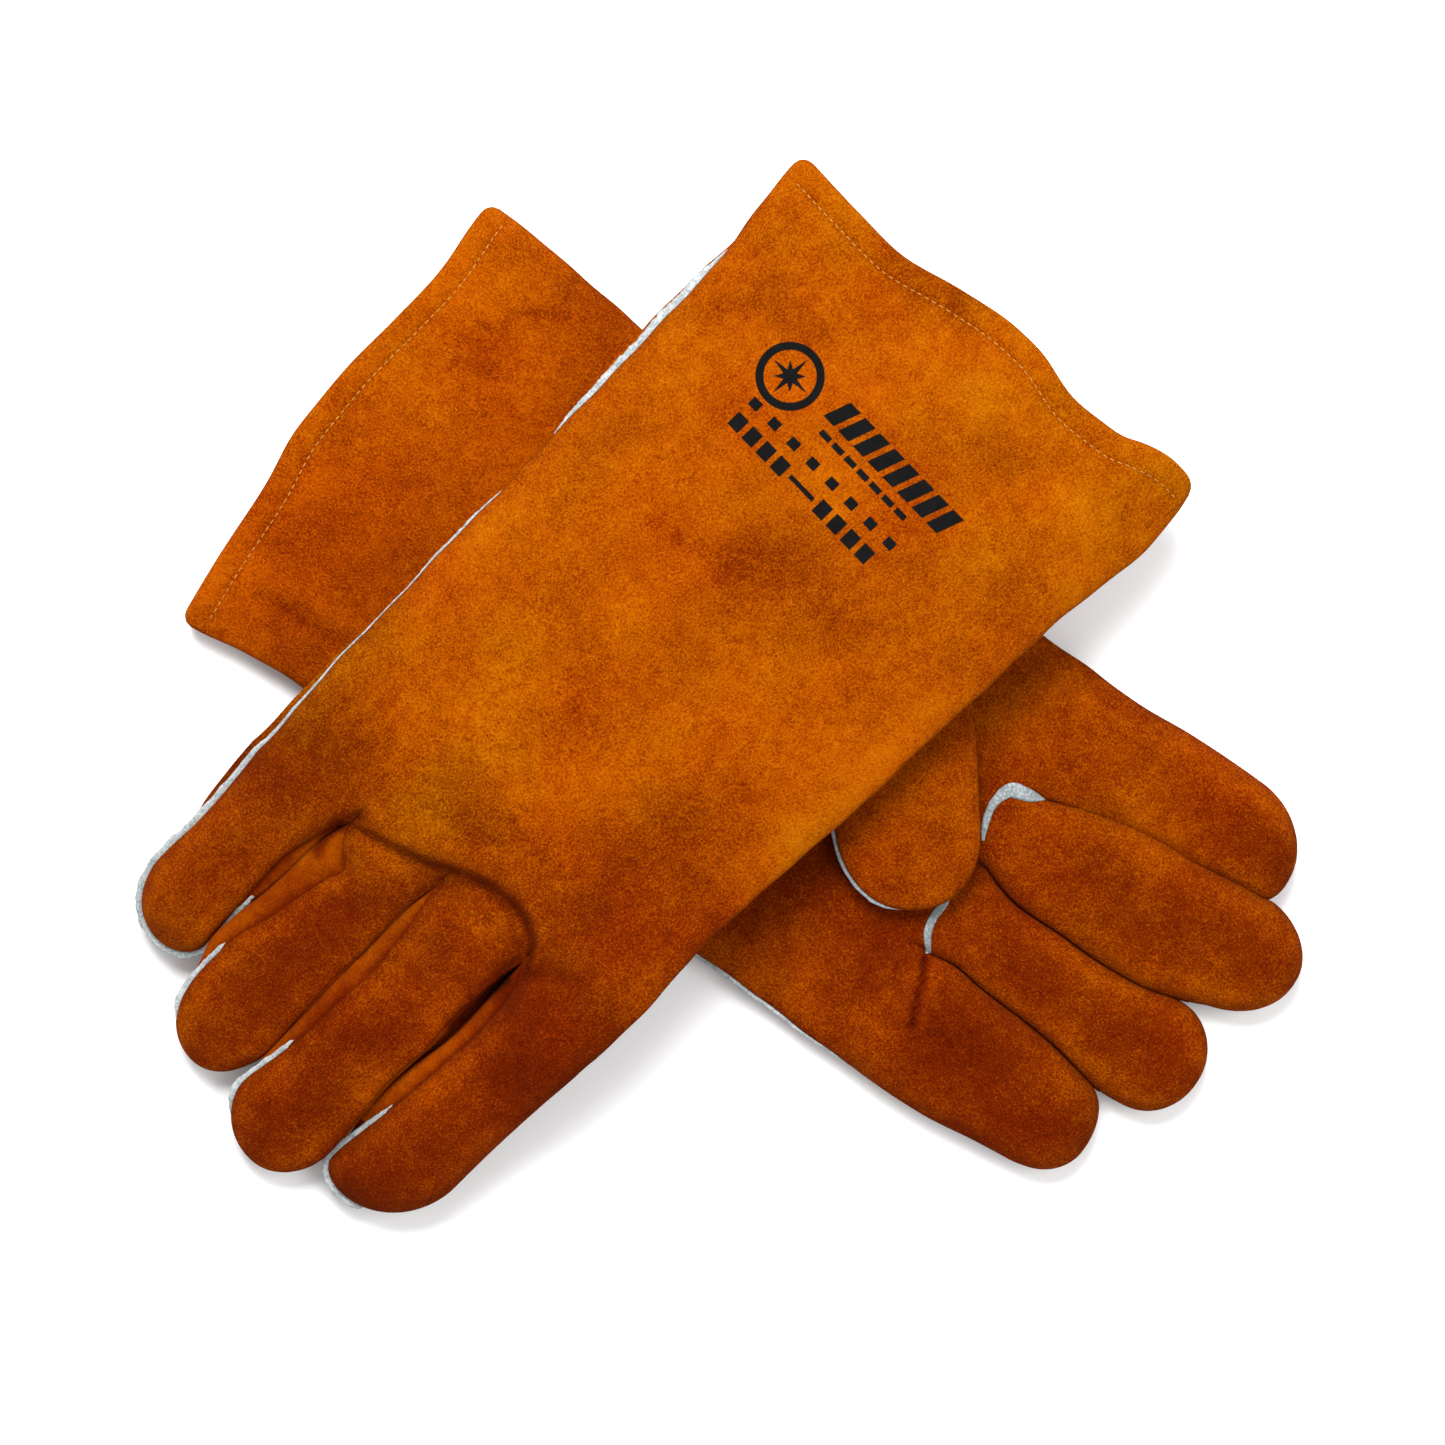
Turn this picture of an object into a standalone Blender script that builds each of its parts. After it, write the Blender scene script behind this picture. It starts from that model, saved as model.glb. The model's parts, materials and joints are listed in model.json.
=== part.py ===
"""A pair of leather welding gauntlets, the right one lying back up across the left one, which lies palm up.

Each glove is designed in its own frame, in millimetres: u runs from the cuff's mouth to the fingertips, v runs
across towards the thumb, and z is up. glove_point() turns that into the row frame, in metres.
"""

import math
from typing import Callable, NamedTuple

import bmesh
import bpy
from mathutils import Vector

MM = 0.001

# The shell: two leather panels with their edges turned round to a seam at mid height.
LEATHER = 1.6
SHELL_HALF_HEIGHT = 10.0
CROWN_POWER = 0.62  # below 1 the section is flatter than an ellipse
CROWN_PEAK = 1.08  # the crown is cut off flat at 1
UPRIGHT_SHARE = 0.083  # how much of a section goes straight up either side
WELT_GAP = 1.7  # half the gap between two panels that a welt fills
FOLD_GAP = 0.25  # half the gap where the leather is only folded
HEM_WIDTH = 14.0
HEM_THICKNESS = 3.0
HEM_GAP = 1.2
FOURCHETTE_GAP = 0.4
LINING = 1.0
LINING_INSET = 2.6
CUFF_LINING_END = 135.0
HAND_LINING_START = 138.0
HAND_LINING_END = 228.0

# The knuckle line, where the fingers hinge upwards. The upper leather needs room there, and the lower has none.
KNUCKLE = 256.0
HINGE_RISE = 3.0  # above mid height
UPPER_FORESET = 4.5
LOWER_SETBACK = 0.6
BASE_WELT_RADIUS = 0.9
BASE_WELT_ENDS = (-33.0, 29.0)

# Fingers
FINGER_HALF_HEIGHT = 9.6
FINGER_LEATHER = 1.4
FOURCHETTE_HALF_HEIGHT = 3.6
FOURCHETTE_START = 9.0
FOURCHETTE_SHARE = 0.5  # of the finger's length
FOURCHETTE_LEATHER = 1.2
TIP_SHARE = 0.97  # the strips stop here, short of the very tip, behind the welt
WELT_RADIUS = 1.0
TIP_WELT_SHARE = 0.6

# Thumb
THUMB_LENGTH = 96.0
THUMB_WIDTH = 42.0
THUMB_HALF_HEIGHT = 5.8
THUMB_HEEL = 19.0
THUMB_LIFT = 0.8
THUMB_HOLE = 15.0
THUMB_CENTRE = (180.0, 50.0)
THUMB_INNER_START = 17.0


class Finger(NamedTuple):
    name: str
    base_v: float
    tip_u: float
    tip_v: float
    base_width: float
    tip_width: float
    little_side: str  # what closes each side: a fourchette, a welted seam or a fold
    thumb_side: str


class Glove(NamedTuple):
    name: str
    mouth_centre: tuple
    heading: float  # degrees from +X that the fingers point
    palm_up: bool
    mouth: Callable  # the mouth's edge, u at a given v
    little_edge: Callable
    thumb_edge: Callable
    underside: Callable  # the height that the glove's lowest line lies at, at a given u
    tip_underside: float
    knuckle_room: float  # how far the upper panel stays back from the knuckle line
    fingers: tuple
    thumb_heading: float


def smooth_through(points):
    """A smooth function through (x, y) points: cubic pieces whose slopes match at the points."""
    xs = [p[0] for p in points]
    ys = [p[1] for p in points]
    slopes = []
    for i in range(len(points)):
        low, high = max(i - 1, 0), min(i + 1, len(points) - 1)
        slopes.append((ys[high] - ys[low]) / (xs[high] - xs[low]))

    def value(x):
        x = min(max(x, xs[0]), xs[-1])
        i = max(k for k in range(len(xs) - 1) if xs[k] <= x)
        span = xs[i + 1] - xs[i]
        f = (x - xs[i]) / span
        return (
            ys[i] * (2 * f**3 - 3 * f**2 + 1)
            + ys[i + 1] * (3 * f**2 - 2 * f**3)
            + slopes[i] * span * (f**3 - 2 * f**2 + f)
            + slopes[i + 1] * span * (f**3 - f**2)
        )

    return value


def smoothstep(low, high, x):
    f = min(max((x - low) / (high - low), 0.0), 1.0)
    return f * f * (3 - 2 * f)


def mix(a, b, share):
    return a + (b - a) * share


def wavy_mouth(v):
    """The right cuff's mouth: skewed, with its two corners and its middle standing out."""
    return -0.11 * v + 2.8 * (1 - math.cos(math.radians(3.8 * v)))


def bowed_mouth(v):
    """The left cuff's mouth: its middle stands out."""
    return -7.0 * (1 - (v / 81.0) ** 2)


RIGHT = Glove(
    name="right",
    mouth_centre=(89.3, 114.7),
    heading=223.8,
    palm_up=False,
    mouth=wavy_mouth,
    little_edge=smooth_through([(-15, -82), (45, -80), (100, -76), (150, -73.5), (200, -72.5), (256, -73)]),
    thumb_edge=smooth_through([(-15, 79), (45, 81), (100, 79), (150, 77), (200, 75.5), (256, 74.5)]),
    underside=smooth_through([(-15, 24), (0, 25.5), (50, 35), (100, 37), (200, 35.5), (235, 34.5), (256, 29)]),
    tip_underside=0.6,
    knuckle_room=5.5,
    fingers=(
        Finger("index", 54.5, 338, 58, 38, 32, "fourchette", "fold"),
        Finger("middle", 17.5, 353, 21.5, 33.5, 33, "fourchette", "fourchette"),
        Finger("ring", -16.5, 345, -15, 32.5, 32, "fourchette", "fourchette"),
        Finger("little", -53.5, 324, -51.5, 39, 34, "welt", "fourchette"),
    ),
    thumb_heading=-84.0,
)

LEFT = Glove(
    name="left",
    mouth_centre=(-121.6, 91.6),
    heading=-34.8,
    palm_up=True,
    mouth=bowed_mouth,
    little_edge=smooth_through([(-15, -81), (45, -78.5), (100, -76.5), (150, -75), (256, -74.5)]),
    thumb_edge=smooth_through([(-15, 81), (45, 79), (100, 76), (150, 73.5), (256, 71.5)]),
    underside=smooth_through([(-15, 0), (120, 0), (256, 0)]),
    tip_underside=0.0,
    knuckle_room=9.8,
    fingers=(
        Finger("index", 51.5, 331, 57.5, 39, 31.5, "fourchette", "fold"),
        Finger("middle", 14, 353, 22, 33, 33, "fourchette", "fourchette"),
        Finger("ring", -19, 347, -17, 31.5, 33, "fourchette", "fourchette"),
        Finger("little", -55, 331, -55, 38.5, 34, "welt", "fourchette"),
    ),
    thumb_heading=-50.5,
)


def glove_point(glove, u, v, z):
    angle = math.radians(glove.heading)
    along = Vector((math.cos(angle), math.sin(angle), 0))
    across = Vector((-math.sin(angle), math.cos(angle), 0))
    start = Vector((*glove.mouth_centre, 0))
    return (start + along * u + across * v + Vector((0, 0, z))) * MM


def material(name, colour, roughness, metallic=0.0):
    made = bpy.data.materials.new(name)
    made.use_nodes = True
    shader = made.node_tree.nodes["Principled BSDF"]
    shader.inputs["Base Color"].default_value = (*colour, 1)
    shader.inputs["Roughness"].default_value = roughness
    shader.inputs["Metallic"].default_value = metallic
    made.diffuse_color = (*colour, 1)
    return made


def keep_in_place_under(parent, child):
    child.parent = parent
    child.matrix_parent_inverse = parent.matrix_world.inverted()


def add(shape, name, finish, parent):
    """Puts a mesh or curve in the scene as the piece called name, which moves with parent."""
    shape.materials.append(MATERIALS[finish])
    piece = bpy.data.objects.new(name, shape)
    bpy.data.collections[COLLECTION].objects.link(piece)
    keep_in_place_under(parent, piece)
    return piece


def sheet(name, rows, columns, place, thickness, finish, parent, faces_up=True, closed=False):
    """A grid bent into shape by place(s, t), with s and t from 0 to 1, and thickened inwards.

    closed joins the t=0 edge to the t=1 edge, which makes a sleeve.
    """
    bm = bmesh.new()
    bmesh.ops.create_grid(bm, x_segments=rows, y_segments=columns, size=0.5)
    for vertex in bm.verts:
        vertex.co = place(vertex.co.x + 0.5, vertex.co.y + 0.5)
    if closed:
        bmesh.ops.remove_doubles(bm, verts=bm.verts, dist=1e-6)
    if not faces_up:
        bmesh.ops.reverse_faces(bm, faces=bm.faces)
    mesh = bpy.data.meshes.new(name)
    bm.to_mesh(mesh)
    bm.free()
    mesh.shade_smooth()
    piece = add(mesh, name, finish, parent)
    wall = piece.modifiers.new("Wall", "SOLIDIFY")
    wall.thickness = thickness * MM
    wall.offset = -1
    return piece


def strip(name, points, radius, parent):
    """A welt: a leather strip along a line of points."""
    curve = bpy.data.curves.new(name, "CURVE")
    curve.dimensions = "3D"
    curve.bevel_depth = radius * MM
    curve.bevel_resolution = 2
    curve.use_fill_caps = True
    spline = curve.splines.new("POLY")
    spline.points.add(len(points) - 1)
    for target, point in zip(spline.points, points):
        target.co = (*point, 1)
    return add(curve, name, "welt", parent)


def crown(over):
    """The section's height, from 0 at either side to a flat 1 in the middle. over goes from 0 to 1 across it."""
    return min(1.0, CROWN_PEAK * max(0.0, math.sin(math.pi * over)) ** CROWN_POWER)


def across(over):
    """Where over falls, from 0 at the little side to 1 at the thumb side.

    Both sides go straight up for a little, so that a panel's edge stays square to its seam.
    """
    eased = min(max((over - UPRIGHT_SHARE) / (1 - 2 * UPRIGHT_SHARE), 0.0), 1.0)
    return (1 - math.cos(math.pi * eased)) / 2


def mouth_edge(glove, over):
    """How far along the glove the mouth's edge lies."""
    return glove.mouth(mix(glove.little_edge(0), glove.thumb_edge(0), across(over)))


def hand_point(glove, u, over, side, inset=0.0, rim=0.0):
    """A point of the cuff and hand, on its top (side 1) or its bottom (side -1). rim is half the seam's gap."""
    v = mix(glove.little_edge(u) + inset, glove.thumb_edge(u) - inset, across(over))
    rise = rim + (SHELL_HALF_HEIGHT - inset - rim) * crown(over)
    return glove_point(glove, u, v, glove.underside(u) + SHELL_HALF_HEIGHT + side * rise)


def panel(glove, name, on_top, end, parent):
    """One of the shell's two panels, from the hem to the knuckles."""

    def place(s, t):
        u = mix(mouth_edge(glove, t) + HEM_WIDTH + HEM_GAP, end, s)
        return hand_point(glove, u, t, 1 if on_top else -1, rim=mix(WELT_GAP, FOLD_GAP, t))

    return sheet(name, 10, 12, place, LEATHER, "leather", parent, faces_up=on_top)


def sleeve(glove, name, rows, along, inset, thickness, finish, parent):
    """A flat tube that goes all the way round. along(over, s) says how far along the glove it reaches."""

    def place(s, t):
        over, side = (2 * t, 1) if t < 0.5 else (2 - 2 * t, -1)
        return hand_point(glove, along(over, s), over, side, inset)

    return sheet(name, rows, 20, place, thickness, finish, parent, closed=True)


def cut_thumb_hole(glove, pieces):
    """The hole in the palm and its lining where the hand's thumb goes through into the glove's thumb."""
    bm = bmesh.new()
    bmesh.ops.create_cone(
        bm,
        cap_ends=True,
        segments=16,
        radius1=THUMB_HOLE * MM,
        radius2=THUMB_HOLE * MM,
        depth=2 * SHELL_HALF_HEIGHT * MM,
    )
    mesh = bpy.data.meshes.new("thumb_hole_cutter")
    bm.to_mesh(mesh)
    bm.free()
    cutter = bpy.data.objects.new(f"{glove.name}_thumb_hole_cutter", mesh)
    to_palm = 1 if glove.palm_up else -1
    middle = glove.underside(THUMB_CENTRE[0]) + SHELL_HALF_HEIGHT
    cutter.location = glove_point(glove, *THUMB_CENTRE, middle + 1.2 * to_palm * SHELL_HALF_HEIGHT)
    cutter.hide_render = True
    cutter.display_type = "WIRE"
    bpy.data.collections[CUTTERS].objects.link(cutter)
    for piece in pieces:
        hole = piece.modifiers.new("Thumb hole", "BOOLEAN")
        hole.operation = "DIFFERENCE"
        hole.object = cutter


class Digit(NamedTuple):
    """A finger's or thumb's centre line and sizes, ready to make surfaces from."""

    glove: Glove
    start: tuple  # u, v, z of the middle at the base
    end: tuple  # u, v, z of the middle at the tip
    base_width: float
    tip_width: float
    half_height: float
    heel: float  # how far the round base reaches behind the start, or 0 for a straight one
    floor: float  # no surface goes below this height

    def length(self):
        return math.hypot(self.end[0] - self.start[0], self.end[1] - self.start[1])

    def skew(self):
        """How far one corner of the base stands nearer the hand, because the digit points a little sideways."""
        return abs(self.end[1] - self.start[1]) / self.length() * self.base_width / 2

    def roundness(self, x, radius):
        """1 along the digit, falling to 0 at its tip, and at its heel if that is round."""
        into_tip = max(0.0, (x - (self.length() - radius)) / radius)
        into_heel = max(0.0, -x / self.heel) if self.heel else 0.0
        return math.sqrt(max(0.0, 1 - into_tip**2)) * math.sqrt(max(0.0, 1 - into_heel**2))

    def half_width(self, x):
        width = mix(self.base_width, self.tip_width, smoothstep(0, 0.6 * self.length(), x))
        return width / 2 * self.roundness(x, self.tip_width / 2)

    def at(self, x, sideways, rise):
        share = x / self.length()
        along_u = (self.end[0] - self.start[0]) / self.length()
        along_v = (self.end[1] - self.start[1]) / self.length()
        u = mix(self.start[0], self.end[0], share) - along_v * sideways
        v = mix(self.start[1], self.end[1], share) + along_u * sideways
        z = mix(self.start[2], self.end[2], share) + rise
        return glove_point(self.glove, u, v, max(z, self.floor))

    def surface(self, x, over, side, rim):
        """A point of the skin. over and side are as in hand_point; rim is how far the edge stays off mid height."""
        height = self.half_height * self.roundness(x, 0.75 * self.tip_width)
        rise = rim + max(0.0, height - rim) * crown(over)
        return self.at(x, (2 * across(over) - 1) * self.half_width(x), side * rise)


def side_rim(kind, share):
    """How far a strip's edge stays off mid height at a side of that kind, at a share of the finger's length."""
    if kind == "fold":
        return mix(FOLD_GAP, WELT_GAP, smoothstep(0.3, 0.5, share))
    if kind == "welt":
        return WELT_GAP
    return mix(FOURCHETTE_HALF_HEIGHT, WELT_GAP, smoothstep(FOURCHETTE_SHARE + 0.12, 0.85, share))


def finger_strip(digit, finger, name, on_top, start, parent):
    """The back or the palm side of a finger."""

    def place(s, t):
        x = mix(start, TIP_SHARE * digit.length(), 1 - (1 - s) ** 1.6)
        share = x / digit.length()
        rim = mix(side_rim(finger.little_side, share), side_rim(finger.thumb_side, share), t)
        return digit.surface(x, t, 1 if on_top else -1, rim)

    return sheet(name, 7, 7, place, FINGER_LEATHER, "leather", parent, faces_up=on_top)


def fourchette(digit, name, side, parent):
    """The narrow side wall of a finger, between its two strips. side is -1 towards the little finger, else 1."""

    def place(s, t):
        x = mix(FOURCHETTE_START, FOURCHETTE_SHARE * digit.length(), s)
        half = FOURCHETTE_HALF_HEIGHT - FOURCHETTE_GAP
        return digit.at(x, side * digit.half_width(x), mix(-half, half, t))

    return sheet(name, 4, 1, place, FOURCHETTE_LEATHER, "fourchette", parent, faces_up=side < 0)


def tip_welt_points(digit, from_x, to_x):
    """Points round the tip, from from_x along the little side to to_x along the thumb side."""
    length = digit.length()
    straight = length - digit.tip_width / 2
    down = [mix(from_x, straight, k / 3) for k in range(3)]
    up = [mix(straight, to_x, k / 3) for k in range(1, 4)]
    points = [digit.at(x, -digit.half_width(x), 0) for x in down]
    for k in range(13):
        turn = math.radians(-90 + 15 * k)
        x = straight + digit.tip_width / 2 * math.cos(turn)
        points.append(digit.at(x, digit.tip_width / 2 * math.sin(turn), 0))
    return points + [digit.at(x, digit.half_width(x), 0) for x in up]


def pivot(name, location, parent=None):
    """An empty on a joint's axis. What moves about the joint is parented to it."""
    empty = bpy.data.objects.new(name, None)
    empty.location = location
    empty.empty_display_size = 0.02
    bpy.data.collections[COLLECTION].objects.link(empty)
    if parent:
        keep_in_place_under(parent, empty)
    bpy.context.view_layer.update()
    return empty


def make_finger(glove, finger, parent):
    base_z = glove.underside(KNUCKLE) + SHELL_HALF_HEIGHT
    tip_z = glove.tip_underside + FINGER_HALF_HEIGHT
    digit = Digit(
        glove=glove,
        start=(KNUCKLE, finger.base_v, base_z),
        end=(finger.tip_u, finger.tip_v, tip_z),
        base_width=finger.base_width,
        tip_width=finger.tip_width,
        half_height=FINGER_HALF_HEIGHT,
        heel=0,
        floor=0,
    )
    name = f"{glove.name}_{finger.name}"
    hinge = pivot(f"{name}_hinge", digit.at(0, 0, HINGE_RISE), parent)
    upper, lower = ("palm", "back") if glove.palm_up else ("back", "palm")
    finger_strip(digit, finger, f"{name}_{upper}_side", True, UPPER_FORESET, hinge)
    finger_strip(digit, finger, f"{name}_{lower}_side", False, LOWER_SETBACK + digit.skew(), hinge)
    if finger.little_side == "fourchette":
        fourchette(digit, f"{name}_fourchette_little_side", -1, hinge)
    if finger.thumb_side == "fourchette":
        fourchette(digit, f"{name}_fourchette_thumb_side", 1, hinge)
    welt_start = LOWER_SETBACK + WELT_RADIUS if finger.little_side == "welt" else TIP_WELT_SHARE * digit.length()
    points = tip_welt_points(digit, welt_start, TIP_WELT_SHARE * digit.length())
    strip(f"{name}_tip_welt", points, WELT_RADIUS, hinge)


def make_thumb(glove, parent):
    """The thumb: a scoop over the hole in the palm that runs on into a closed tube."""
    to_palm = 1 if glove.palm_up else -1
    middle = glove.underside(THUMB_CENTRE[0]) + SHELL_HALF_HEIGHT
    off_palm = SHELL_HALF_HEIGHT + THUMB_LIFT + THUMB_HALF_HEIGHT
    z = middle + to_palm * off_palm
    angle = math.radians(glove.thumb_heading)
    tip = (
        THUMB_CENTRE[0] + THUMB_LENGTH * math.cos(angle),
        THUMB_CENTRE[1] + THUMB_LENGTH * math.sin(angle),
        z,
    )
    digit = Digit(
        glove=glove,
        start=(*THUMB_CENTRE, z),
        end=tip,
        base_width=THUMB_WIDTH,
        tip_width=THUMB_WIDTH,
        half_height=THUMB_HALF_HEIGHT,
        heel=THUMB_HEEL,
        floor=0,
    )
    name = f"{glove.name}_thumb"
    hinge = pivot(f"{name}_hinge", digit.at(0, 0, 0), parent)
    heel_end = 0.94 * THUMB_HEEL
    skirt = THUMB_HALF_HEIGHT

    def outer(s, t):
        x = mix(-heel_end, TIP_SHARE * digit.length(), s)
        rim = mix(-skirt, WELT_GAP, smoothstep(0, THUMB_INNER_START, x))
        height = max(rim + 0.5, digit.half_height * digit.roundness(x, 0.75 * digit.tip_width))
        rise = rim + (height - rim) * crown(t)
        return digit.at(x, (2 * across(t) - 1) * digit.half_width(x), to_palm * rise)

    def inner(s, t):
        x = mix(THUMB_INNER_START, TIP_SHARE * digit.length(), 1 - (1 - s) ** 1.3)
        return digit.surface(x, t, -to_palm, WELT_GAP)

    sheet(f"{name}_outer_side", 12, 8, outer, FINGER_LEATHER, "leather", hinge, faces_up=glove.palm_up)
    sheet(f"{name}_inner_side", 8, 8, inner, FINGER_LEATHER, "leather", hinge, faces_up=not glove.palm_up)
    points = tip_welt_points(digit, 0.35 * digit.length(), 0.35 * digit.length())
    strip(f"{name}_welt", points, WELT_RADIUS, hinge)


def side_welt_points(glove, end):
    start = HEM_WIDTH + HEM_GAP + WELT_RADIUS + glove.mouth(glove.little_edge(0))
    stations = [mix(start, end - WELT_RADIUS, k / 10) for k in range(11)]
    return [glove_point(glove, u, glove.little_edge(u), glove.underside(u) + SHELL_HALF_HEIGHT) for u in stations]


def base_welt_points(glove, end):
    """The welt in the seam that runs across the palm at the foot of the two middle fingers."""
    u = end + 0.4 + BASE_WELT_RADIUS
    to_palm = 1 if glove.palm_up else -1
    z = glove.underside(u) + SHELL_HALF_HEIGHT + to_palm * (SHELL_HALF_HEIGHT - BASE_WELT_RADIUS)
    return [glove_point(glove, u, v, z) for v in BASE_WELT_ENDS]


def make_hand(glove, parent):
    """The cuff and hand: the shell's two panels, the hem, the linings and the welts."""
    upper_end, lower_end = KNUCKLE - glove.knuckle_room, KNUCKLE - LOWER_SETBACK
    name = glove.name
    palm_end, back_end = (upper_end, lower_end) if glove.palm_up else (lower_end - 2.6, upper_end)
    palm = panel(glove, f"{name}_palm_panel", glove.palm_up, palm_end, parent)
    panel(glove, f"{name}_back_panel", not glove.palm_up, back_end, parent)

    def hem_reach(over, s):
        return mouth_edge(glove, over) + s * HEM_WIDTH

    def cuff_reach(over, s):
        return mix(mouth_edge(glove, over) + HEM_WIDTH + 2 * HEM_GAP, CUFF_LINING_END, s)

    def hand_reach(_, s):
        return mix(HAND_LINING_START, HAND_LINING_END, s)

    sleeve(glove, f"{name}_hem", 2, hem_reach, 0, HEM_THICKNESS, "leather", parent)
    sleeve(glove, f"{name}_cuff_lining", 4, cuff_reach, LINING_INSET, LINING, "canvas", parent)
    lining = sleeve(glove, f"{name}_hand_lining", 4, hand_reach, LINING_INSET, LINING, "fleece", parent)
    cut_thumb_hole(glove, [palm, lining])
    strip(f"{name}_side_welt", side_welt_points(glove, min(palm_end, back_end)), WELT_RADIUS, parent)
    strip(f"{name}_finger_base_welt", base_welt_points(glove, palm_end), BASE_WELT_RADIUS, parent)


COLLECTION = "welding_gloves"
CUTTERS = "cutters"


def clear_scene():
    for old in list(bpy.data.objects):
        bpy.data.objects.remove(old)


def main():
    clear_scene()
    for name in (COLLECTION, CUTTERS):
        bpy.context.scene.collection.children.link(bpy.data.collections.new(name))
    for glove in (LEFT, RIGHT):
        root = pivot(f"{glove.name}_glove", glove_point(glove, 0, 0, 0))
        make_hand(glove, root)
        for finger in glove.fingers:
            make_finger(glove, finger, root)
        make_thumb(glove, root)


MATERIALS = {
    "leather": material("split_leather", (0.50, 0.115, 0.004), 0.95),
    "fourchette": material("fourchette_leather", (0.40, 0.075, 0.003), 0.95),
    "welt": material("welt_leather", (0.45, 0.47, 0.46), 0.9),
    "canvas": material("lining_canvas", (0.72, 0.68, 0.58), 0.95),
    "fleece": material("lining_fleece", (0.78, 0.75, 0.70), 1.0),
}
main()
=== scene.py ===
"""Looks for a crossed pair of split-leather welding gauntlets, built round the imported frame.

Each glove has axes of its own, in millimetres: u runs from the cuff's mouth to the fingertips, v runs
across the glove towards the thumb's side, and z is up. The right glove lies back up on the left one, which
lies palm up. A glove's side 1 is its upper side, and -1 its lower.
"""

import json
import math
from typing import Callable, NamedTuple

import bpy
import numpy as np
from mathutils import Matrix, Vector, noise

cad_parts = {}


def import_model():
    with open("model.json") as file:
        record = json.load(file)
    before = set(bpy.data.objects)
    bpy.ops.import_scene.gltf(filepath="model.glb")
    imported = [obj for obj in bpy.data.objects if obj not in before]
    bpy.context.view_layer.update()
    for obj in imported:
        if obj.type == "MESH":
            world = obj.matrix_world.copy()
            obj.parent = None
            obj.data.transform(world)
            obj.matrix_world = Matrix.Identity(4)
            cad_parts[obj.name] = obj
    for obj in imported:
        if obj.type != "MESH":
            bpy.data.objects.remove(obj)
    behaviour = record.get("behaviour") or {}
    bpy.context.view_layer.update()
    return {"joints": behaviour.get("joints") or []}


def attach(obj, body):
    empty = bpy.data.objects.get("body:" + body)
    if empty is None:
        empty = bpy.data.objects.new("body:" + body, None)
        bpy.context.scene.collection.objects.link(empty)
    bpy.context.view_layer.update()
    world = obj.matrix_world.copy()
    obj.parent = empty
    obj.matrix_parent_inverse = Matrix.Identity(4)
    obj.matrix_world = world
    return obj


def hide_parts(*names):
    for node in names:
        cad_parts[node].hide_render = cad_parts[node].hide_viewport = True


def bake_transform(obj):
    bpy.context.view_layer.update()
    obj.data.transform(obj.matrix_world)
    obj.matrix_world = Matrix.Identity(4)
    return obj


MM = 0.001

# The shell, in millimetres and in shares of a finger's length. The knuckle line and half heights are the
# frame's.
KNUCKLE = 256.0
HALF_HEIGHT = 10.0
FINGER_HALF_HEIGHT = 9.6
LEAST_HALF_HEIGHT = 0.25
HINGE_RISE = 3.0
BEND_START = 0.5
BEND_LENGTH = 22.0
ROOT_SHARE = 0.34
SEAM_RIM = 0.7
FOURCHETTE_RIM = 4.0
FOURCHETTE_SHARE = 0.74
RIM_ROUNDING = 12.0
GROOVE_DEPTH = 1.4
GROOVE_ROUNDING = 14.0
PANEL_ROUNDING = 16.0
KNUCKLE_FADE = 10.0
MOUTH_CORNER = 3.6
FLOOR_GAP = 0.1
LEAST_FINGER_Z = 0.3
HEM_WIDTH = 13.0
HEM_ROLL = 1.4
HEM_STITCH_LINE = 8.2
LINING_INSET = 3.2
CANVAS_FROM_MOUTH = 4.0
CANVAS_END = 135.0
FLEECE_START = 132.0
FLEECE_END = 226.0
THUMB_CENTRE = (180.0, 50.0)
THUMB_LENGTH = 96.0
THUMB_HALF_WIDTH = 21.0
THUMB_HALF_HEIGHT = 5.8
THUMB_HEEL = 19.0

# The powers that round off ovals: the cuff's section, a finger's tip and the thumb's.
CUFF_OVAL = (3.4, 0.52)
FINGERTIP_OVAL = 2.05
THUMB_TIP_OVAL = 2.2
THUMB_SQUARENESS = 3.0
SOFT_SQUARENESS = 4

# The welts, in millimetres: how thick, how far they stand out, and how far in they lie where hidden.
WELT_THICKNESS = 1.2
SIDE_WELT_THICKNESS = 1.3
SIDE_WELT_SPAN = (42.0, 260.0)
SIDE_WELT_TUCK = 2.2
TIP_WELT_REACH = 2.0
TIP_WELT_HIDDEN_REACH = 0.9
TIP_WELT_TUCK = 1.7
THUMB_WELT_REACH = 1.15
THUMB_WELT_HIDDEN_REACH = 0.75
THUMB_WELT_TUCK = 2.2
# How light they are, and one over the share of a strip's length over which its ends narrow.
WELT_TONE = 0.5
# SIDE_WELT_TONE holds the welt's own lightness and a painted highlight for the light falling on the little
# side's seam.
SIDE_WELT_TONE = 0.68
TIP_WELT_TONE = 0.72
QUICK_TAPER = 200
SLOW_TAPER = 20
THUMB_TAPER = 30

# The hem's thread, in millimetres.
STITCH_SPACING = 2.6
STITCH_LENGTH = 2.15
THREAD_RADIUS = 0.17

# How far the printed mark stands off the leather, and how finely it is cut.
MARK_LIFT = 0.13
MARK_CELL = 1.5

# How finely the surfaces are cut.
COLUMNS_PER_FINGER = 28
HEM_ROWS = 18
HEM_SHARE = 0.06
HAND_ROWS = 180
FINGER_ROWS = 84
WALL_COLUMNS = 13
LINING_ROWS = 40
TIP_WELT_ROWS = 56
SIDE_WELT_ROWS = 260
BASE_WELT_ROWS = 60
TURNED_ROWS = 4
ROLL_ROWS = 7
THUMB_ROWS = 52
THUMB_HEEL_ROWS = 14
THUMB_COLUMNS = 27
THREAD_CORNERS = 6
RING_CORNERS = 72
# How much closer together the rows come towards the fingertips, as a power.
HAND_CROWDING = 1.35
FINGER_CROWDING = 1.45
TIP_WELT_CROWDING = 1.8
THUMB_CROWDING = 1.5

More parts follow.
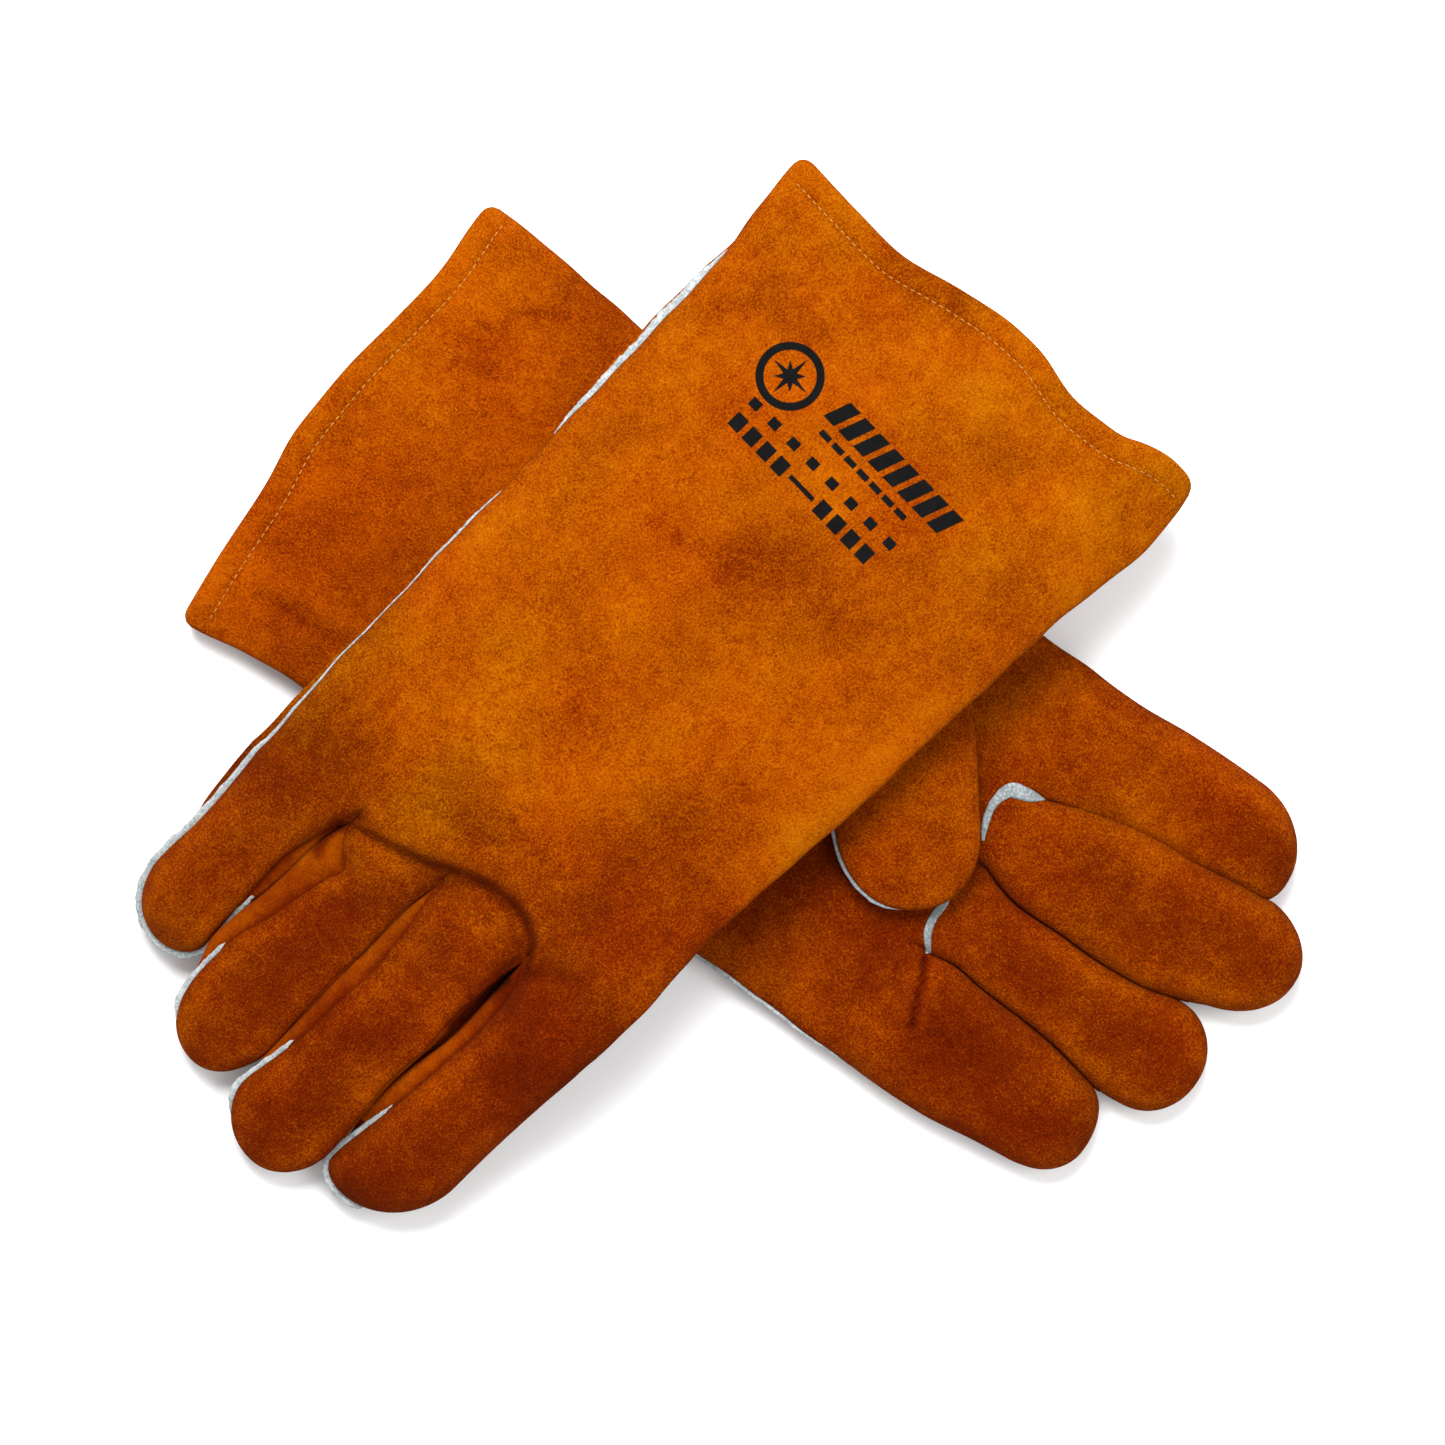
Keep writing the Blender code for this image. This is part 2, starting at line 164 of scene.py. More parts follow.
# Where the leather's patterns are taken from the noise, in millimetres above or below its middle, so that
# its shape, tone and ochre differ, and its two sides; and how far apart the two gloves' textures are taken.
SHAPE_LAYER = 40.0
TONE_LAYER = 80.0
OCHRE_LAYER = 120.0
TEXTURES_APART = 300

# A welt strip's section: how far out, in reaches, and how far up, in thicknesses.
WELT_SECTION = (
    (-1.6, -0.5), (0.55, -0.5), (0.92, -0.36), (1.0, 0.0),
    (0.92, 0.36), (0.55, 0.5), (0.1, 0.34), (-1.6, 0.5),
)
# The folded strip's at the fingers' base: how far aside, in half widths, and how many millimetres up.
BASE_WELT_SECTION = (
    (-1.0, -0.8), (-0.92, 0.35), (-0.5, 0.75), (-0.06, 0.5),
    (0.1, 0.5), (0.5, 0.8), (0.92, 0.35), (1.0, -0.8),
)


class Side(NamedTuple):
    """One side of a finger, from above. Its widest line and its panels' edges give v as a function of u."""

    kind: str  # "welt", "fold" or "fourchette"
    tip_reach: float  # how far before the tip's end this side begins to round off
    widest: Callable
    top: Callable
    below: Callable


class Finger(NamedTuple):
    """A finger's outline, from its knuckle hinge to its tip."""

    name: str
    base_v: float
    tip: tuple  # u, v of the hinge's centre line at the tip
    apex: float  # how far the tip's end lies to the thumb's side of that line
    lift: float
    tone: float
    sides: tuple  # little side, thumb side


class Crease(NamedTuple):
    """A line pressed into the leather, or raised from it where its depth is negative. Its shade is painted
    shade along the line, or a painted highlight where negative.
    """

    depth: float
    width: float
    shade: float
    line: tuple  # u, v points


class Glove(NamedTuple):
    """One glove's outline, lie and colouring."""

    name: str
    palm_up: bool
    seed: float
    little_edge: Callable
    thumb_edge: Callable
    mouth: Callable  # u of the cuff's edge at each v
    underside: Callable
    palm_bulge: Callable  # how far the lower half stands out past the little finger's seam at each u
    tip_underside: float
    side_welt: Callable  # how far the welt stands out of the side seam at each u
    base_welt: tuple  # each run of the welt at the fingers' base: its u, v points and half widths
    line_ends: tuple  # u of the line where the fingers begin, at the little side and at the thumb side
    crotches: tuple  # u, v between the little and ring, ring and middle, and middle and index fingers
    fingers: tuple
    squareness: float
    thumb_heading: float
    thumb_tone: float
    thumb_gap: float  # between the palm and the thumb folded over it
    creases: tuple
    ochre_along: Callable  # from 0, red-brown, to 1, ochre
    tone_along: Callable
    patches: tuple  # u, v, reach and amount of each lighter or darker patch
    redder: tuple  # u, v, reach and amount of each redder patch


def mix(low, high, share):
    return low + (high - low) * share


def smoothstep(low, high, x):
    t = np.clip((x - low) / (high - low), 0, 1)
    return t * t * (3 - 2 * t)


def hump(distance, reach):
    """1 at no distance, falling smoothly to almost nothing at twice the reach."""
    return np.exp(-((distance / reach) ** 2))


def bulge(y, squareness):
    """The section of a stuffed finger, from 0 at either side to 1 in the middle. y goes from -1 to 1."""
    return np.maximum(0, 1 - np.abs(y) ** squareness) ** 0.5


def slowing(count, power):
    """Shares from 0 to 1, closer and closer together."""
    return 1 - (1 - np.linspace(0, 1, count)) ** power


def points_at(u, v, z):
    return np.stack(np.broadcast_arrays(u, v, z), axis=-1)


def lengths_along(line):
    """How far along a line each of its points is."""
    return np.concatenate(([0.0], np.cumsum(np.linalg.norm(np.diff(line, axis=0), axis=1))))


def unit(directions):
    return directions / np.maximum(np.linalg.norm(directions, axis=1, keepdims=True), 1e-9)


def right_of(line):
    """Level unit vectors to the right of the way that a line runs."""
    step = np.gradient(line[:, :2], axis=0)
    return unit(points_at(step[:, 1], -step[:, 0], 0.0))


def curve(points):
    """A smooth curve through (x, y) points, as a function of x."""
    xs, ys = np.array(points, float).T
    slopes = np.gradient(ys, xs)

    def at(x):
        x = np.asarray(x, float)
        k = np.clip(np.searchsorted(xs, x) - 1, 0, len(xs) - 2)
        step = xs[k + 1] - xs[k]
        t = np.clip((x - xs[k]) / step, 0, 1)
        ease = t * t * (3 - 2 * t)
        leave = t * (1 - t) ** 2 * step * slopes[k]
        arrive = t * t * (t - 1) * step * slopes[k + 1]
        return mix(ys[k], ys[k + 1], ease) + leave + arrive

    return at


def wavering(seed, points):
    """A smooth curve with small uneven waves."""
    smooth = curve(points)

    def at(x):
        return smooth(x) + 0.15 * np.sin(x / 3.3 + seed) + 0.18 * np.sin(x / 7.9 + 2 * seed)

    return at


def waves(points, size, seed):
    """Smooth noise from about -1 to 1 at each point, with bumps of about that size."""
    shift = Vector((seed * 17.3, seed * 9.1, seed * 5.7))
    flat = np.asarray(points, float).reshape(-1, 3) / size
    values = [noise.noise(Vector(p) + shift) for p in flat]
    return np.array(values).reshape(np.asarray(points).shape[:-1])


def two_waves(points, seed, large, small):
    """Large and small waves added up, each given as a size and an amount."""
    (size, amount), (small_size, small_amount) = large, small
    return amount * waves(points, size, seed) + small_amount * waves(points, small_size, seed + 3)


def distance_to(line, points):
    """How far each (u, v) point is from a line through (u, v) corners."""
    corners = np.array(line, float)
    best = np.full(points.shape[:-1], np.inf)
    for start, end in zip(corners, corners[1:]):
        step = end - start
        t = np.clip(((points - start) @ step) / (step @ step), 0, 1)
        best = np.minimum(best, np.linalg.norm(points - start - t[..., None] * step, axis=-1))
    return best


def side_of(kind, tip_reach, widest, top=None, below=None):
    """A side whose panels reach its widest line, except where top or below says otherwise."""
    widest = curve(widest)
    return Side(kind, tip_reach, widest, curve(top) if top else widest, curve(below) if below else widest)


# Where two neighbouring fingers meet, as far as both follow the same line.
RIGHT_RING_MEETS_LITTLE = [(252, -31.5), (262, -33.4), (289, -34.8)]
RIGHT_MIDDLE_MEETS_RING = [(246, 1.2), (262, 0.3), (291, 0.5), (308, 1.5)]
LEFT_RING_MEETS_LITTLE = [(252, -33.4), (262, -31.9), (270, -33), (291, -34.1), (304, -35.3), (321, -38.6)]
LEFT_MIDDLE_MEETS_RING = [(251, -1.1), (263, -4.9), (283, -5), (298, -5.1), (313, -3.6), (324, -0.6)]

RIGHT_FINGERS = (
    Finger("little", base_v=-53.5, tip=(325.4, -51.5), apex=3.0, lift=0.4, tone=0.11, sides=(
        side_of(
            "welt", 20, [(250, -68.8), (270, -67), (291, -66), (301, -66.4), (315, -66)],
            below=[(250, -71.9), (270, -70.6), (282, -69.2), (292, -66.8), (301, -66.4), (315, -66)],
        ),
        side_of(
            "fourchette", 11, RIGHT_RING_MEETS_LITTLE + [(302, -36.6), (320, -36)],
            top=[(252, -32.5), (259, -37.6), (269, -38.9), (285, -38.7), (301, -37.6), (320, -36)],
        ),
    )),
    Finger("ring", base_v=-16.5, tip=(344.2, -15), apex=1.5, lift=0.6, tone=-0.02, sides=(
        side_of(
            "fourchette", 23,
            RIGHT_RING_MEETS_LITTLE + [(302, -36.2), (312, -36.2), (320, -33.4), (327, -32)],
            top=[
                (252, -31), (257, -28), (263, -22.3), (270, -24), (281, -26.3), (293, -28.2), (302, -30.6),
                (314, -31.7), (327, -31.4),
            ],
        ),
        side_of(
            "fourchette", 18, RIGHT_MIDDLE_MEETS_RING + [(323, 2.1), (335, 1)],
            top=[(246, 1.2), (262, -0.9), (281, 0), (291, -0.4), (308, 0.8), (323, 2), (335, 1)],
        ),
    )),
    Finger("middle", base_v=17.5, tip=(352.6, 21.5), apex=1.0, lift=0.8, tone=0.0, sides=(
        side_of(
            "fourchette", 22, RIGHT_MIDDLE_MEETS_RING + [(320, 2.1), (338, 2.2)],
            top=[
                (246, 1.6), (253, 3.2), (268, 5.5), (283, 6.8), (295, 6.1), (311, 6.0), (318, 5.2),
                (338, 2.2),
            ],
        ),
        side_of(
            "fourchette", 21,
            [(244, 36.8), (256, 35.4), (284, 36.2), (306, 35.9), (320, 37.4), (330, 38.6), (340, 39)],
            top=[
                (244, 36.6), (257, 35.0), (274, 34.6), (284, 35.6), (306, 35.4), (320, 37.2), (330, 38.4),
                (340, 39),
            ],
            below=[(244, 37.1), (256, 37.7), (284, 37.9), (306, 36.3), (320, 37.6), (340, 39)],
        ),
    )),
    Finger("index", base_v=54.5, tip=(338.6, 58), apex=-8.0, lift=0.3, tone=-0.02, sides=(
        side_of(
            "fourchette", 7,
            [
                (244, 37.4), (250, 39.2), (261, 39.4), (279, 39), (290, 37.4), (306, 36.2), (318, 37.6),
                (327, 39.4),
            ],
            top=[
                (244, 37.6), (250, 40.3), (256, 43.6), (266, 44.2), (279, 43.4), (304, 42.2), (316, 40.9),
                (327, 39.8),
            ],
            below=[(244, 37.1), (256, 37.5), (284, 37.65), (306, 36.1), (318, 37.5), (327, 39.4)],
        ),
        side_of("fold", 27, [(240, 75), (256, 74.7), (272, 74), (296, 73.6), (315, 74)]),
    )),
)

LEFT_FINGERS = (
    Finger("little", base_v=-55, tip=(328.6, -55), apex=-1.5, lift=0.0, tone=-0.1, sides=(
        side_of(
            "welt", 18, [(242, -76.4), (256, -77.3), (268, -77.4), (281, -76.8), (299, -74.2), (315, -72.4)],
        ),
        side_of("fourchette", 11, LEFT_RING_MEETS_LITTLE),
    )),
    Finger("ring", base_v=-19, tip=(346, -17), apex=-1.5, lift=-0.5, tone=-0.03, sides=(
        side_of("fourchette", 18, LEFT_RING_MEETS_LITTLE + [(330, -38)]),
        side_of("fourchette", 18, LEFT_MIDDLE_MEETS_RING + [(333, 0)]),
    )),
    Finger("middle", base_v=14, tip=(353.8, 22), apex=4.0, lift=1.6, tone=0.0, sides=(
        side_of("fourchette", 34, LEFT_MIDDLE_MEETS_RING + [(333, 1.6)]),
        side_of(
            "fourchette", 20,
            [(253, 27.3), (268, 32.7), (278, 35.4), (292, 38), (307, 38.8), (321, 41), (335, 42.6)],
        ),
    )),
    Finger("index", base_v=51.5, tip=(332.8, 57.5), apex=-7, lift=0.0, tone=-0.02, sides=(
        side_of(
            "fourchette", 5,
            [(253, 27.7), (268, 31.8), (278, 34.4), (292, 36.8), (307, 37.6), (321, 39.8), (331, 41)],
        ),
        side_of("fold", 23, [(240, 70.2), (264, 70.1), (283, 71.5), (302, 71.9), (315, 71.7)]),
    )),
)

RIGHT = Glove(
    name="right",
    palm_up=False,
    seed=1.0,
    little_edge=wavering(1, [
        (-15, -86), (12, -84.7), (27, -82.7), (45, -79.6), (100, -76.2), (150, -74), (200, -72),
        (223, -70.8), (240, -69.5), (256, -68.3),
    ]),
    thumb_edge=wavering(2, [
        (-15, 74.5), (0, 77.8), (12, 79.4), (25, 78.4), (45, 76.4), (60, 76), (105, 75.2), (150, 74.4),
        (180, 72.8), (200, 72.7), (220, 74.2), (240, 75), (256, 74.8),
    ]),
    mouth=curve([
        (-90, 5.5), (-60, 6.4), (-42, 6), (-20, 0), (0, -4.2), (12, -4.7), (30, -2), (42, -3.4), (50, -5.0),
        (58, -8.6), (67, -11.3), (76, -11.7), (90, -11.4),
    ]),
    underside=curve([(-15, 24), (0, 25.5), (50, 35), (100, 37), (200, 35.5), (235, 34.5), (256, 29)]),
    palm_bulge=curve([
        (40, 0), (52, 1.9), (70, 2.8), (90, 2.6), (112, 1.4), (130, 0), (195, 0), (215, 1.2), (240, 2.6),
        (256, 3.3),
    ]),
    tip_underside=0.6,
    side_welt=curve([
        (42, 0), (52, 1.9), (75, 2.4), (95, 2.2), (115, 1.4), (127, 0.1), (142, 0.1), (150, 0.6), (200, 0.6),
        (235, 1.0), (260, 1.6),
    ]),
    base_welt=(
        (((249, -28), (247, -10), (246, 5), (246, 20), (246, 32)), (0.5, 1.2, 1.3, 1.2, 0.5)),
    ),
    line_ends=(258.0, 254.0),
    crotches=((254.0, -31.5), (247.5, 1.2), (245.0, 37.0)),
    fingers=RIGHT_FINGERS,
    squareness=2.6,
    thumb_heading=-84.0,
    thumb_tone=0.5,
    thumb_gap=1.4,
    creases=(
        Crease(0.5, 1.6, 0.05, ((255, -31), (264, -21), (274, -11))),
        Crease(0.9, 1.2, 0.1, ((249, 3), (242.5, 5), (237.5, 12), (238, 24), (243, 33.5), (247, 37.5))),
        Crease(0.9, 2.0, 0.1, ((246, 40.8), (239, 47.4), (236, 54))),
        Crease(4.5, 2.6, 0.2, ((249, 37), (256, 38))),
        Crease(1.2, 1.5, 0.4, ((252, 37.4), (258, 36.9), (267, 36.3), (275, 35.8))),
        Crease(3.0, 2.4, 0.15, ((251, -31), (256, -33))),
        Crease(1.2, 1.5, 0.4, ((257, -33.6), (261, -34.2), (264, -33.8), (267.5, -32.4))),
        Crease(1.8, 1.8, 0.16, ((246, 1), (252, 1))),
        Crease(1.0, 6.0, 0.08, ((62, -70), (50, -58), (44, -40))),
        Crease(0.8, 5.0, 0.05, ((100, 10), (112, -8), (118, -30))),
    ),
    ochre_along=curve([
        (-10, 0.75), (15, 0.6), (40, 0.45), (150, 0.42), (200, 0.57), (238, 0.8), (256, 0.5), (290, 0.25),
        (355, 0.35),
    ]),
    tone_along=curve([
        (-10, 0.74), (40, 0.72), (120, 0.71), (190, 0.68), (240, 0.56), (290, 0.46), (355, 0.48),
    ]),
    patches=(
        (240, 64, 34, -0.19),
        (178, 50, 30, -0.06),
        (214, -16, 30, 0.1),
        (299, -54, 22, 0.08),
        (20, -60, 26, 0.05),
        (55, 30, 40, -0.04),
    ),
    redder=((236, 60, 60, 0.66),),
)

LEFT = Glove(
    name="left",
    palm_up=True,
    seed=2.0,
    little_edge=wavering(3, [
        (-15, -84), (5, -81.7), (15, -80.2), (30, -78), (45, -77.9), (100, -76.5), (150, -75.3),
        (200, -75.6), (225, -76.3), (256, -77.2),
    ]),
    thumb_edge=wavering(4, [
        (-15, 84), (10, 82.8), (22, 82.4), (38, 80.4), (64, 77.7), (100, 75.6), (150, 72.8), (200, 71),
        (240, 70.2), (256, 69.8),
    ]),
    mouth=curve([
        (-90, -3.5), (-60, -5), (-30, -5.8), (-13, -7.6), (0, -6.9), (14, -5.6), (36, -1.8), (58, 1.1),
        (75, 0.7), (90, 1),
    ]),
    underside=curve([(-15, 0), (120, 0), (256, 0)]),
    palm_bulge=curve([(0, 0), (256, 0)]),
    tip_underside=0.0,
    side_welt=curve([(42, 0.3), (60, 1.2), (180, 1.3), (215, 1.4), (238, 1.0), (257, 0.2)]),
    base_welt=(
        (
            ((254.5, 27.6), (249.5, 25.8), (243.6, 23.6), (241.8, 18.5), (243.6, 9.5), (245.6, 5.6)),
            (0.3, 2.2, 2.4, 1.6, 1.1, 0.5),
        ),
        (
            ((246, -12), (247, -17.5), (246.6, -22.5), (247.6, -27.5), (252, -33.6)),
            (0.3, 1.2, 1.4, 1.4, 0.8),
        ),
    ),
    line_ends=(254.0, 256.0),
    crotches=((252.5, -33.5), (251.5, -1.0), (254.0, 27.5)),
    fingers=LEFT_FINGERS,
    squareness=3.4,
    thumb_heading=-50.5,
    thumb_tone=0.6,
    thumb_gap=0.8,
    creases=(
        Crease(1.6, 0.9, 0.4, ((252, -35.5), (255.3, -42.2), (257.9, -49.9), (260.5, -55))),
        Crease(0.5, 0.8, 0.12, ((20, 49), (29.5, 51.3), (26.8, 57), (33.3, 62.1), (41.9, 66.9))),
        Crease(0.4, 0.8, 0.1, ((38.1, 78), (37.7, 72.1), (38.5, 68.2))),
        Crease(1.3, 2.2, 0.1, ((14, -61), (27.9, -60.3), (46.8, -58.5))),
        Crease(-0.6, 3.0, -0.06, ((10, -54), (28, -53.5), (46, -52))),
        Crease(-0.6, 6.0, -0.03, ((8, 30), (12, 0), (8, -40))),
    ),
    ochre_along=curve([(-10, 0.3), (30, 0.15), (150, 0.16), (355, 0.3)]),
    tone_along=curve([(-10, 0.7), (60, 0.68), (150, 0.58), (230, 0.5), (290, 0.5), (355, 0.52)]),
    patches=(
        (249, 55, 26, 0.2),
        (295, 55, 22, 0.1),
        (299, 20, 24, -0.04),
        (300, -54, 20, 0.06),
        (14, -50, 24, -0.13),
    ),
    redder=((14, -50, 30, 0.4),),
)

# The edge of the fold over the right hand's knuckles, where its leather stands over two fingers' roots.
KNUCKLE_FOLD = curve([
    (-36, 257), (-30, 253), (-15, 247), (-6, 243.3), (0, 240), (10, 235), (20, 233), (29, 234), (36, 238.5),
    (41, 246),
])


class Axes:
    """Where a glove lies in the frame, found from its knuckle hinges."""

    def __init__(self, glove, joints):
        pins = {joint["name"]: np.array(joint["pos_m"], float) for joint in joints if "pos_m" in joint}
        index = pins[f"{glove.name}_index_knuckle"]
        little = pins[f"{glove.name}_little_knuckle"]
        self.across = (index - little)[:2] / np.linalg.norm((index - little)[:2])
        self.along = np.array((self.across[1], -self.across[0]))
        self.mouth = index[:2] - (self.along * KNUCKLE + self.across * glove.fingers[-1].base_v) * MM

    def place(self, points):
        """Metres in the frame, from millimetres in the glove."""
        points = np.asarray(points, float)
        flat = self.mouth + (points[..., :1] * self.along + points[..., 1:2] * self.across) * MM
        return np.concatenate((flat, points[..., 2:] * MM), axis=-1)

    def turn(self, directions):
        """Directions in the frame, from directions in the glove."""
        flat = directions[:, :1] * self.along + directions[:, 1:2] * self.across
        return np.concatenate((flat, directions[:, 2:]), axis=1)


class Hand:
    """The surface of a glove's cuff and hand. over runs from 0 at the little side to 1 at the thumb's."""

    def __init__(self, glove):
        self.glove = glove
        self.line_u = [glove.line_ends[0], *(u for u, _ in glove.crotches), glove.line_ends[1]]
        self.bounds = [0.0, *(float(self.share_across(u, v)) for u, v in glove.crotches), 1.0]
        self.rims = [SEAM_RIM, FOURCHETTE_RIM, FOURCHETTE_RIM, FOURCHETTE_RIM, 0.0]

        # Shares across of the columns, close together where each finger's sides begin.
        even = np.arange(COLUMNS_PER_FINGER + 1) / COLUMNS_PER_FINGER
        steps = mix(even, (1 - np.cos(np.pi * even)) / 2, 0.8)
        spans = [mix(low, high, steps)[:-1] for low, high in zip(self.bounds, self.bounds[1:])]
        self.columns = np.concatenate(spans + [[1.0]])

        # u of the mouth's edge, with its corners rounded off, and of the line where the fingers begin.
        self.start = self.mouth_edge(self.columns)
        self.end = self.fingers_line(self.columns)

    def share_across(self, u, v):
        low, high = self.glove.little_edge(u), self.glove.thumb_edge(u)
        return (v - low) / (high - low)

    def fingers_line(self, over):
        return np.interp(over, self.bounds, self.line_u)

    def mouth_edge(self, over):
        low, high = self.glove.little_edge(0.0), self.glove.thumb_edge(0.0)
        v = mix(low, high, over)
        into_corner = np.clip(1 - np.minimum(v - low, high - v) / MOUTH_CORNER, 0, 1)
        return self.glove.mouth(v) + 0.8 * MOUTH_CORNER * (1 - np.sqrt(1 - into_corner**2))

    def height(self, u, over):
        """Half the shell's thickness: one flat oval, parting into four finger roots near the fingers."""
        rim = mix(SEAM_RIM, 0.0, over)
        flatness, fullness = CUFF_OVAL
        whole = rim + (HALF_HEIGHT - rim) * (1 - np.abs(2 * over - 1) ** flatness) ** fullness
        k = np.clip(np.searchsorted(self.bounds, over) - 1, 0, 3)
        low, high = np.take(self.bounds, k), np.take(self.bounds, k + 1)
        share = np.clip((over - low) / (high - low), 0, 1)
        rim = mix(np.take(self.rims, k), np.take(self.rims, k + 1), share)
        lift = np.take([finger.lift for finger in self.glove.fingers], k)
        root = rim + (FINGER_HALF_HEIGHT + lift - rim) * bulge(2 * share - 1, self.glove.squareness)
        return mix(whole, root, 1 - smoothstep(0, KNUCKLE_FADE, self.fingers_line(over) - u))

    def at(self, u, over, side, inward=0.0):
        """A point of the smooth shell, or of a layer that lies inward of it."""
        bulged = self.glove.palm_bulge(u) if side < 0 else 0.0
        v = mix(self.glove.little_edge(u) + inward - bulged, self.glove.thumb_edge(u) - inward, over)
        height = np.maximum(self.height(u, over) - inward, LEAST_HALF_HEIGHT)
        return points_at(u, v, self.glove.underside(u) + HALF_HEIGHT + side * height)

    def fold(self, points, over, side):
        """Moves points of the shell with the leather's folds, which fade out at the shell's edges."""
        inside = smoothstep(0.0, 0.8, self.height(points[..., 0], over) / HALF_HEIGHT)
        return points + relief(self.glove, points, side, inside)

    def skin_at(self, u, v, side):
        """The point of the leather over or under (u, v)."""
        over = np.clip(self.share_across(u, v), 0, 1)
        return self.fold(self.at(u, over, side), over, side)

    def ring(self, u, inward=0.0):
        """One closed loop round the shell, from the little side over the top, with one u for each column."""
        top = self.at(u, self.columns, 1, inward)
        below = self.at(u, self.columns, -1, inward)
        groove_v = self.glove.little_edge(u[:1]) + inward + GROOVE_DEPTH
        groove = points_at(u[:1], groove_v, self.glove.underside(u[:1]) + HALF_HEIGHT)
        return np.concatenate((groove, top, below[-2::-1]))

    def rings(self, steps):
        """Folded loops, each at its own u and as far inward as its step says."""
        grid = np.stack([self.ring(u, inward) for u, inward in steps])
        turned = 1 + len(self.columns)
        grid[:, 1:turned] = self.fold(grid[:, 1:turned], self.columns[None], 1)
        grid[:, turned:] = self.fold(grid[:, turned:], self.columns[-2::-1][None], -1)
        return grid


def knuckle_step(u, v):
    """The height and the shade of the fold over the right hand's knuckles."""
    past = u - KNUCKLE_FOLD(v)
    inside = smoothstep(-38, -28, v) * (1 - smoothstep(35, 46, v))
    swell = 2.2 * hump(past + 4.5, 5)
    drop = -3.4 * smoothstep(-1.2, 2.2, past)
    shade = mix(0.5, 1, smoothstep(-22, 8, v)) * hump(past - 1.2, 2.1)
    return inside * (swell + drop), inside * shade


def relief(glove, points, side, weight):
    """How far the leather's folds and bumps move each point."""
    u, v = points[..., 0], points[..., 1]
    flat = points_at(u, v, SHAPE_LAYER * side)
    rise = two_waves(flat, glove.seed, (38, 0.9), (15, 0.45))
    rise = rise + 0.22 * waves(flat * (1, 0.6, 1), 7, glove.seed + 6)
    from_mouth = u - glove.mouth(v)
    rise = rise + 0.5 * hump(from_mouth - 4.5, 2.6) - 0.55 * hump(from_mouth - HEM_STITCH_LINE, 0.9)
    if side > 0:
        for crease in glove.creases:
            rise = rise - crease.depth * hump(distance_to(crease.line, points[..., :2]), crease.width)
        if not glove.palm_up:
            rise = rise + knuckle_step(u, v)[0]
    return points_at(0.0, 0.0, side * weight * rise)


def tone_at(glove, points, side, extra=0.0):
    """How light the leather is at each point, from 0 to 1."""
    u, v = points[..., 0], points[..., 1]
    flat = points_at(u, v, TONE_LAYER * side)
    tone = glove.tone_along(u) + extra + two_waves(flat, glove.seed + 9, (45, 0.15), (18, 0.1))
    # Painted shade in the groove that the hem's stitches are pressed into.
    tone = tone - 0.09 * hump(u - glove.mouth(v) - HEM_STITCH_LINE, 0.8)
    if side > 0:
        for spot_u, spot_v, reach, amount in glove.patches:
            tone = tone + amount * hump(np.hypot(u - spot_u, v - spot_v), reach)
        # Painted shade in each crease and hollow, and a painted highlight along each raised ridge, whose
        # shade is negative.
        for crease in glove.creases:
            tone = tone - crease.shade * hump(distance_to(crease.line, points[..., :2]), crease.width + 0.3)
        if not glove.palm_up:
            # Painted shade along the foot of the fold over the right hand's knuckles.
            tone = tone - 0.26 * knuckle_step(u, v)[1]
    return tone


def ochre_at(glove, points):
    """How far the leather's colour goes from red-brown towards ochre at each point, from 0 to 1."""
    u, v = points[:, 0], points[:, 1]
    along = glove.ochre_along(u)
    flat = points_at(u, v, OCHRE_LAYER)
    ochre = along + (0.3 + along) * two_waves(flat, glove.seed + 15, (34, 0.5), (13, 0.3))
    for spot_u, spot_v, reach, amount in glove.redder:
        ochre = ochre - amount * hump(np.hypot(u - spot_u, v - spot_v), reach)
    return np.clip(ochre, 0, 1)


def painted_edge_highlight(y, place, width):
    """Painted highlight across a finger or a hand, where y goes from -1 to 1: most on two ridges near its
    rounded edges, as if they caught the light, with painted shade down the middle.
    """
    return hump(np.abs(y) - place, width) - 0.5 * hump(y, 0.5 * place)


# ---- meshes


class Skin(NamedTuple):
    """A surface ready to become a piece: its points in a glove's millimetres, its faces and its tone."""

    name: str
    points: np.ndarray
    faces: list
    tone: np.ndarray


def grid_faces(rows, columns, closed=True):
    """Quads between neighbouring rows of a grid whose rows are closed loops, or open lines."""
    faces = []
    for here in range(0, (rows - 1) * columns, columns):
        above = here + columns
        for column in range(columns if closed else columns - 1):
            beside = (column + 1) % columns
            faces.append((here + column, above + column, above + beside, here + beside))
    return faces


def from_grid(name, grid, tone, closed=True, flip=False):
    faces = grid_faces(*grid.shape[:2], closed)
    if flip:
        faces = [face[::-1] for face in faces]
    return Skin(name, grid.reshape(-1, 3), faces, np.broadcast_to(tone, grid.shape[:2]).reshape(-1))


def joined(name, parts, tone):
    """One skin of several separate parts, each given as points and faces."""
    points, faces = [], []
    for part_points, part_faces in parts:
        faces += [tuple(len(points) + index for index in face) for face in part_faces]
        points += list(part_points)
    return Skin(name, np.array(points, float), faces, np.full(len(points), tone))


def shared_normals(skins):
    """Smooth normals for each skin, alike wherever two skins meet, so that no join shows."""
    totals = {}
    keys = []
    for skin in skins:
        faces = np.array(skin.faces)
        a, b, c, d = (skin.points[faces[:, k]] for k in range(4))
        normal = np.cross(c - a, d - b)
        total = np.zeros_like(skin.points)
        for k in range(4):
            np.add.at(total, faces[:, k], normal)
        keys.append([tuple(row) for row in np.round(skin.points, 3).tolist()])
        for key, value in zip(keys[-1], total):
            totals[key] = totals.get(key, 0) + value
    return [unit(np.array([totals[key] for key in places])) for places in keys]


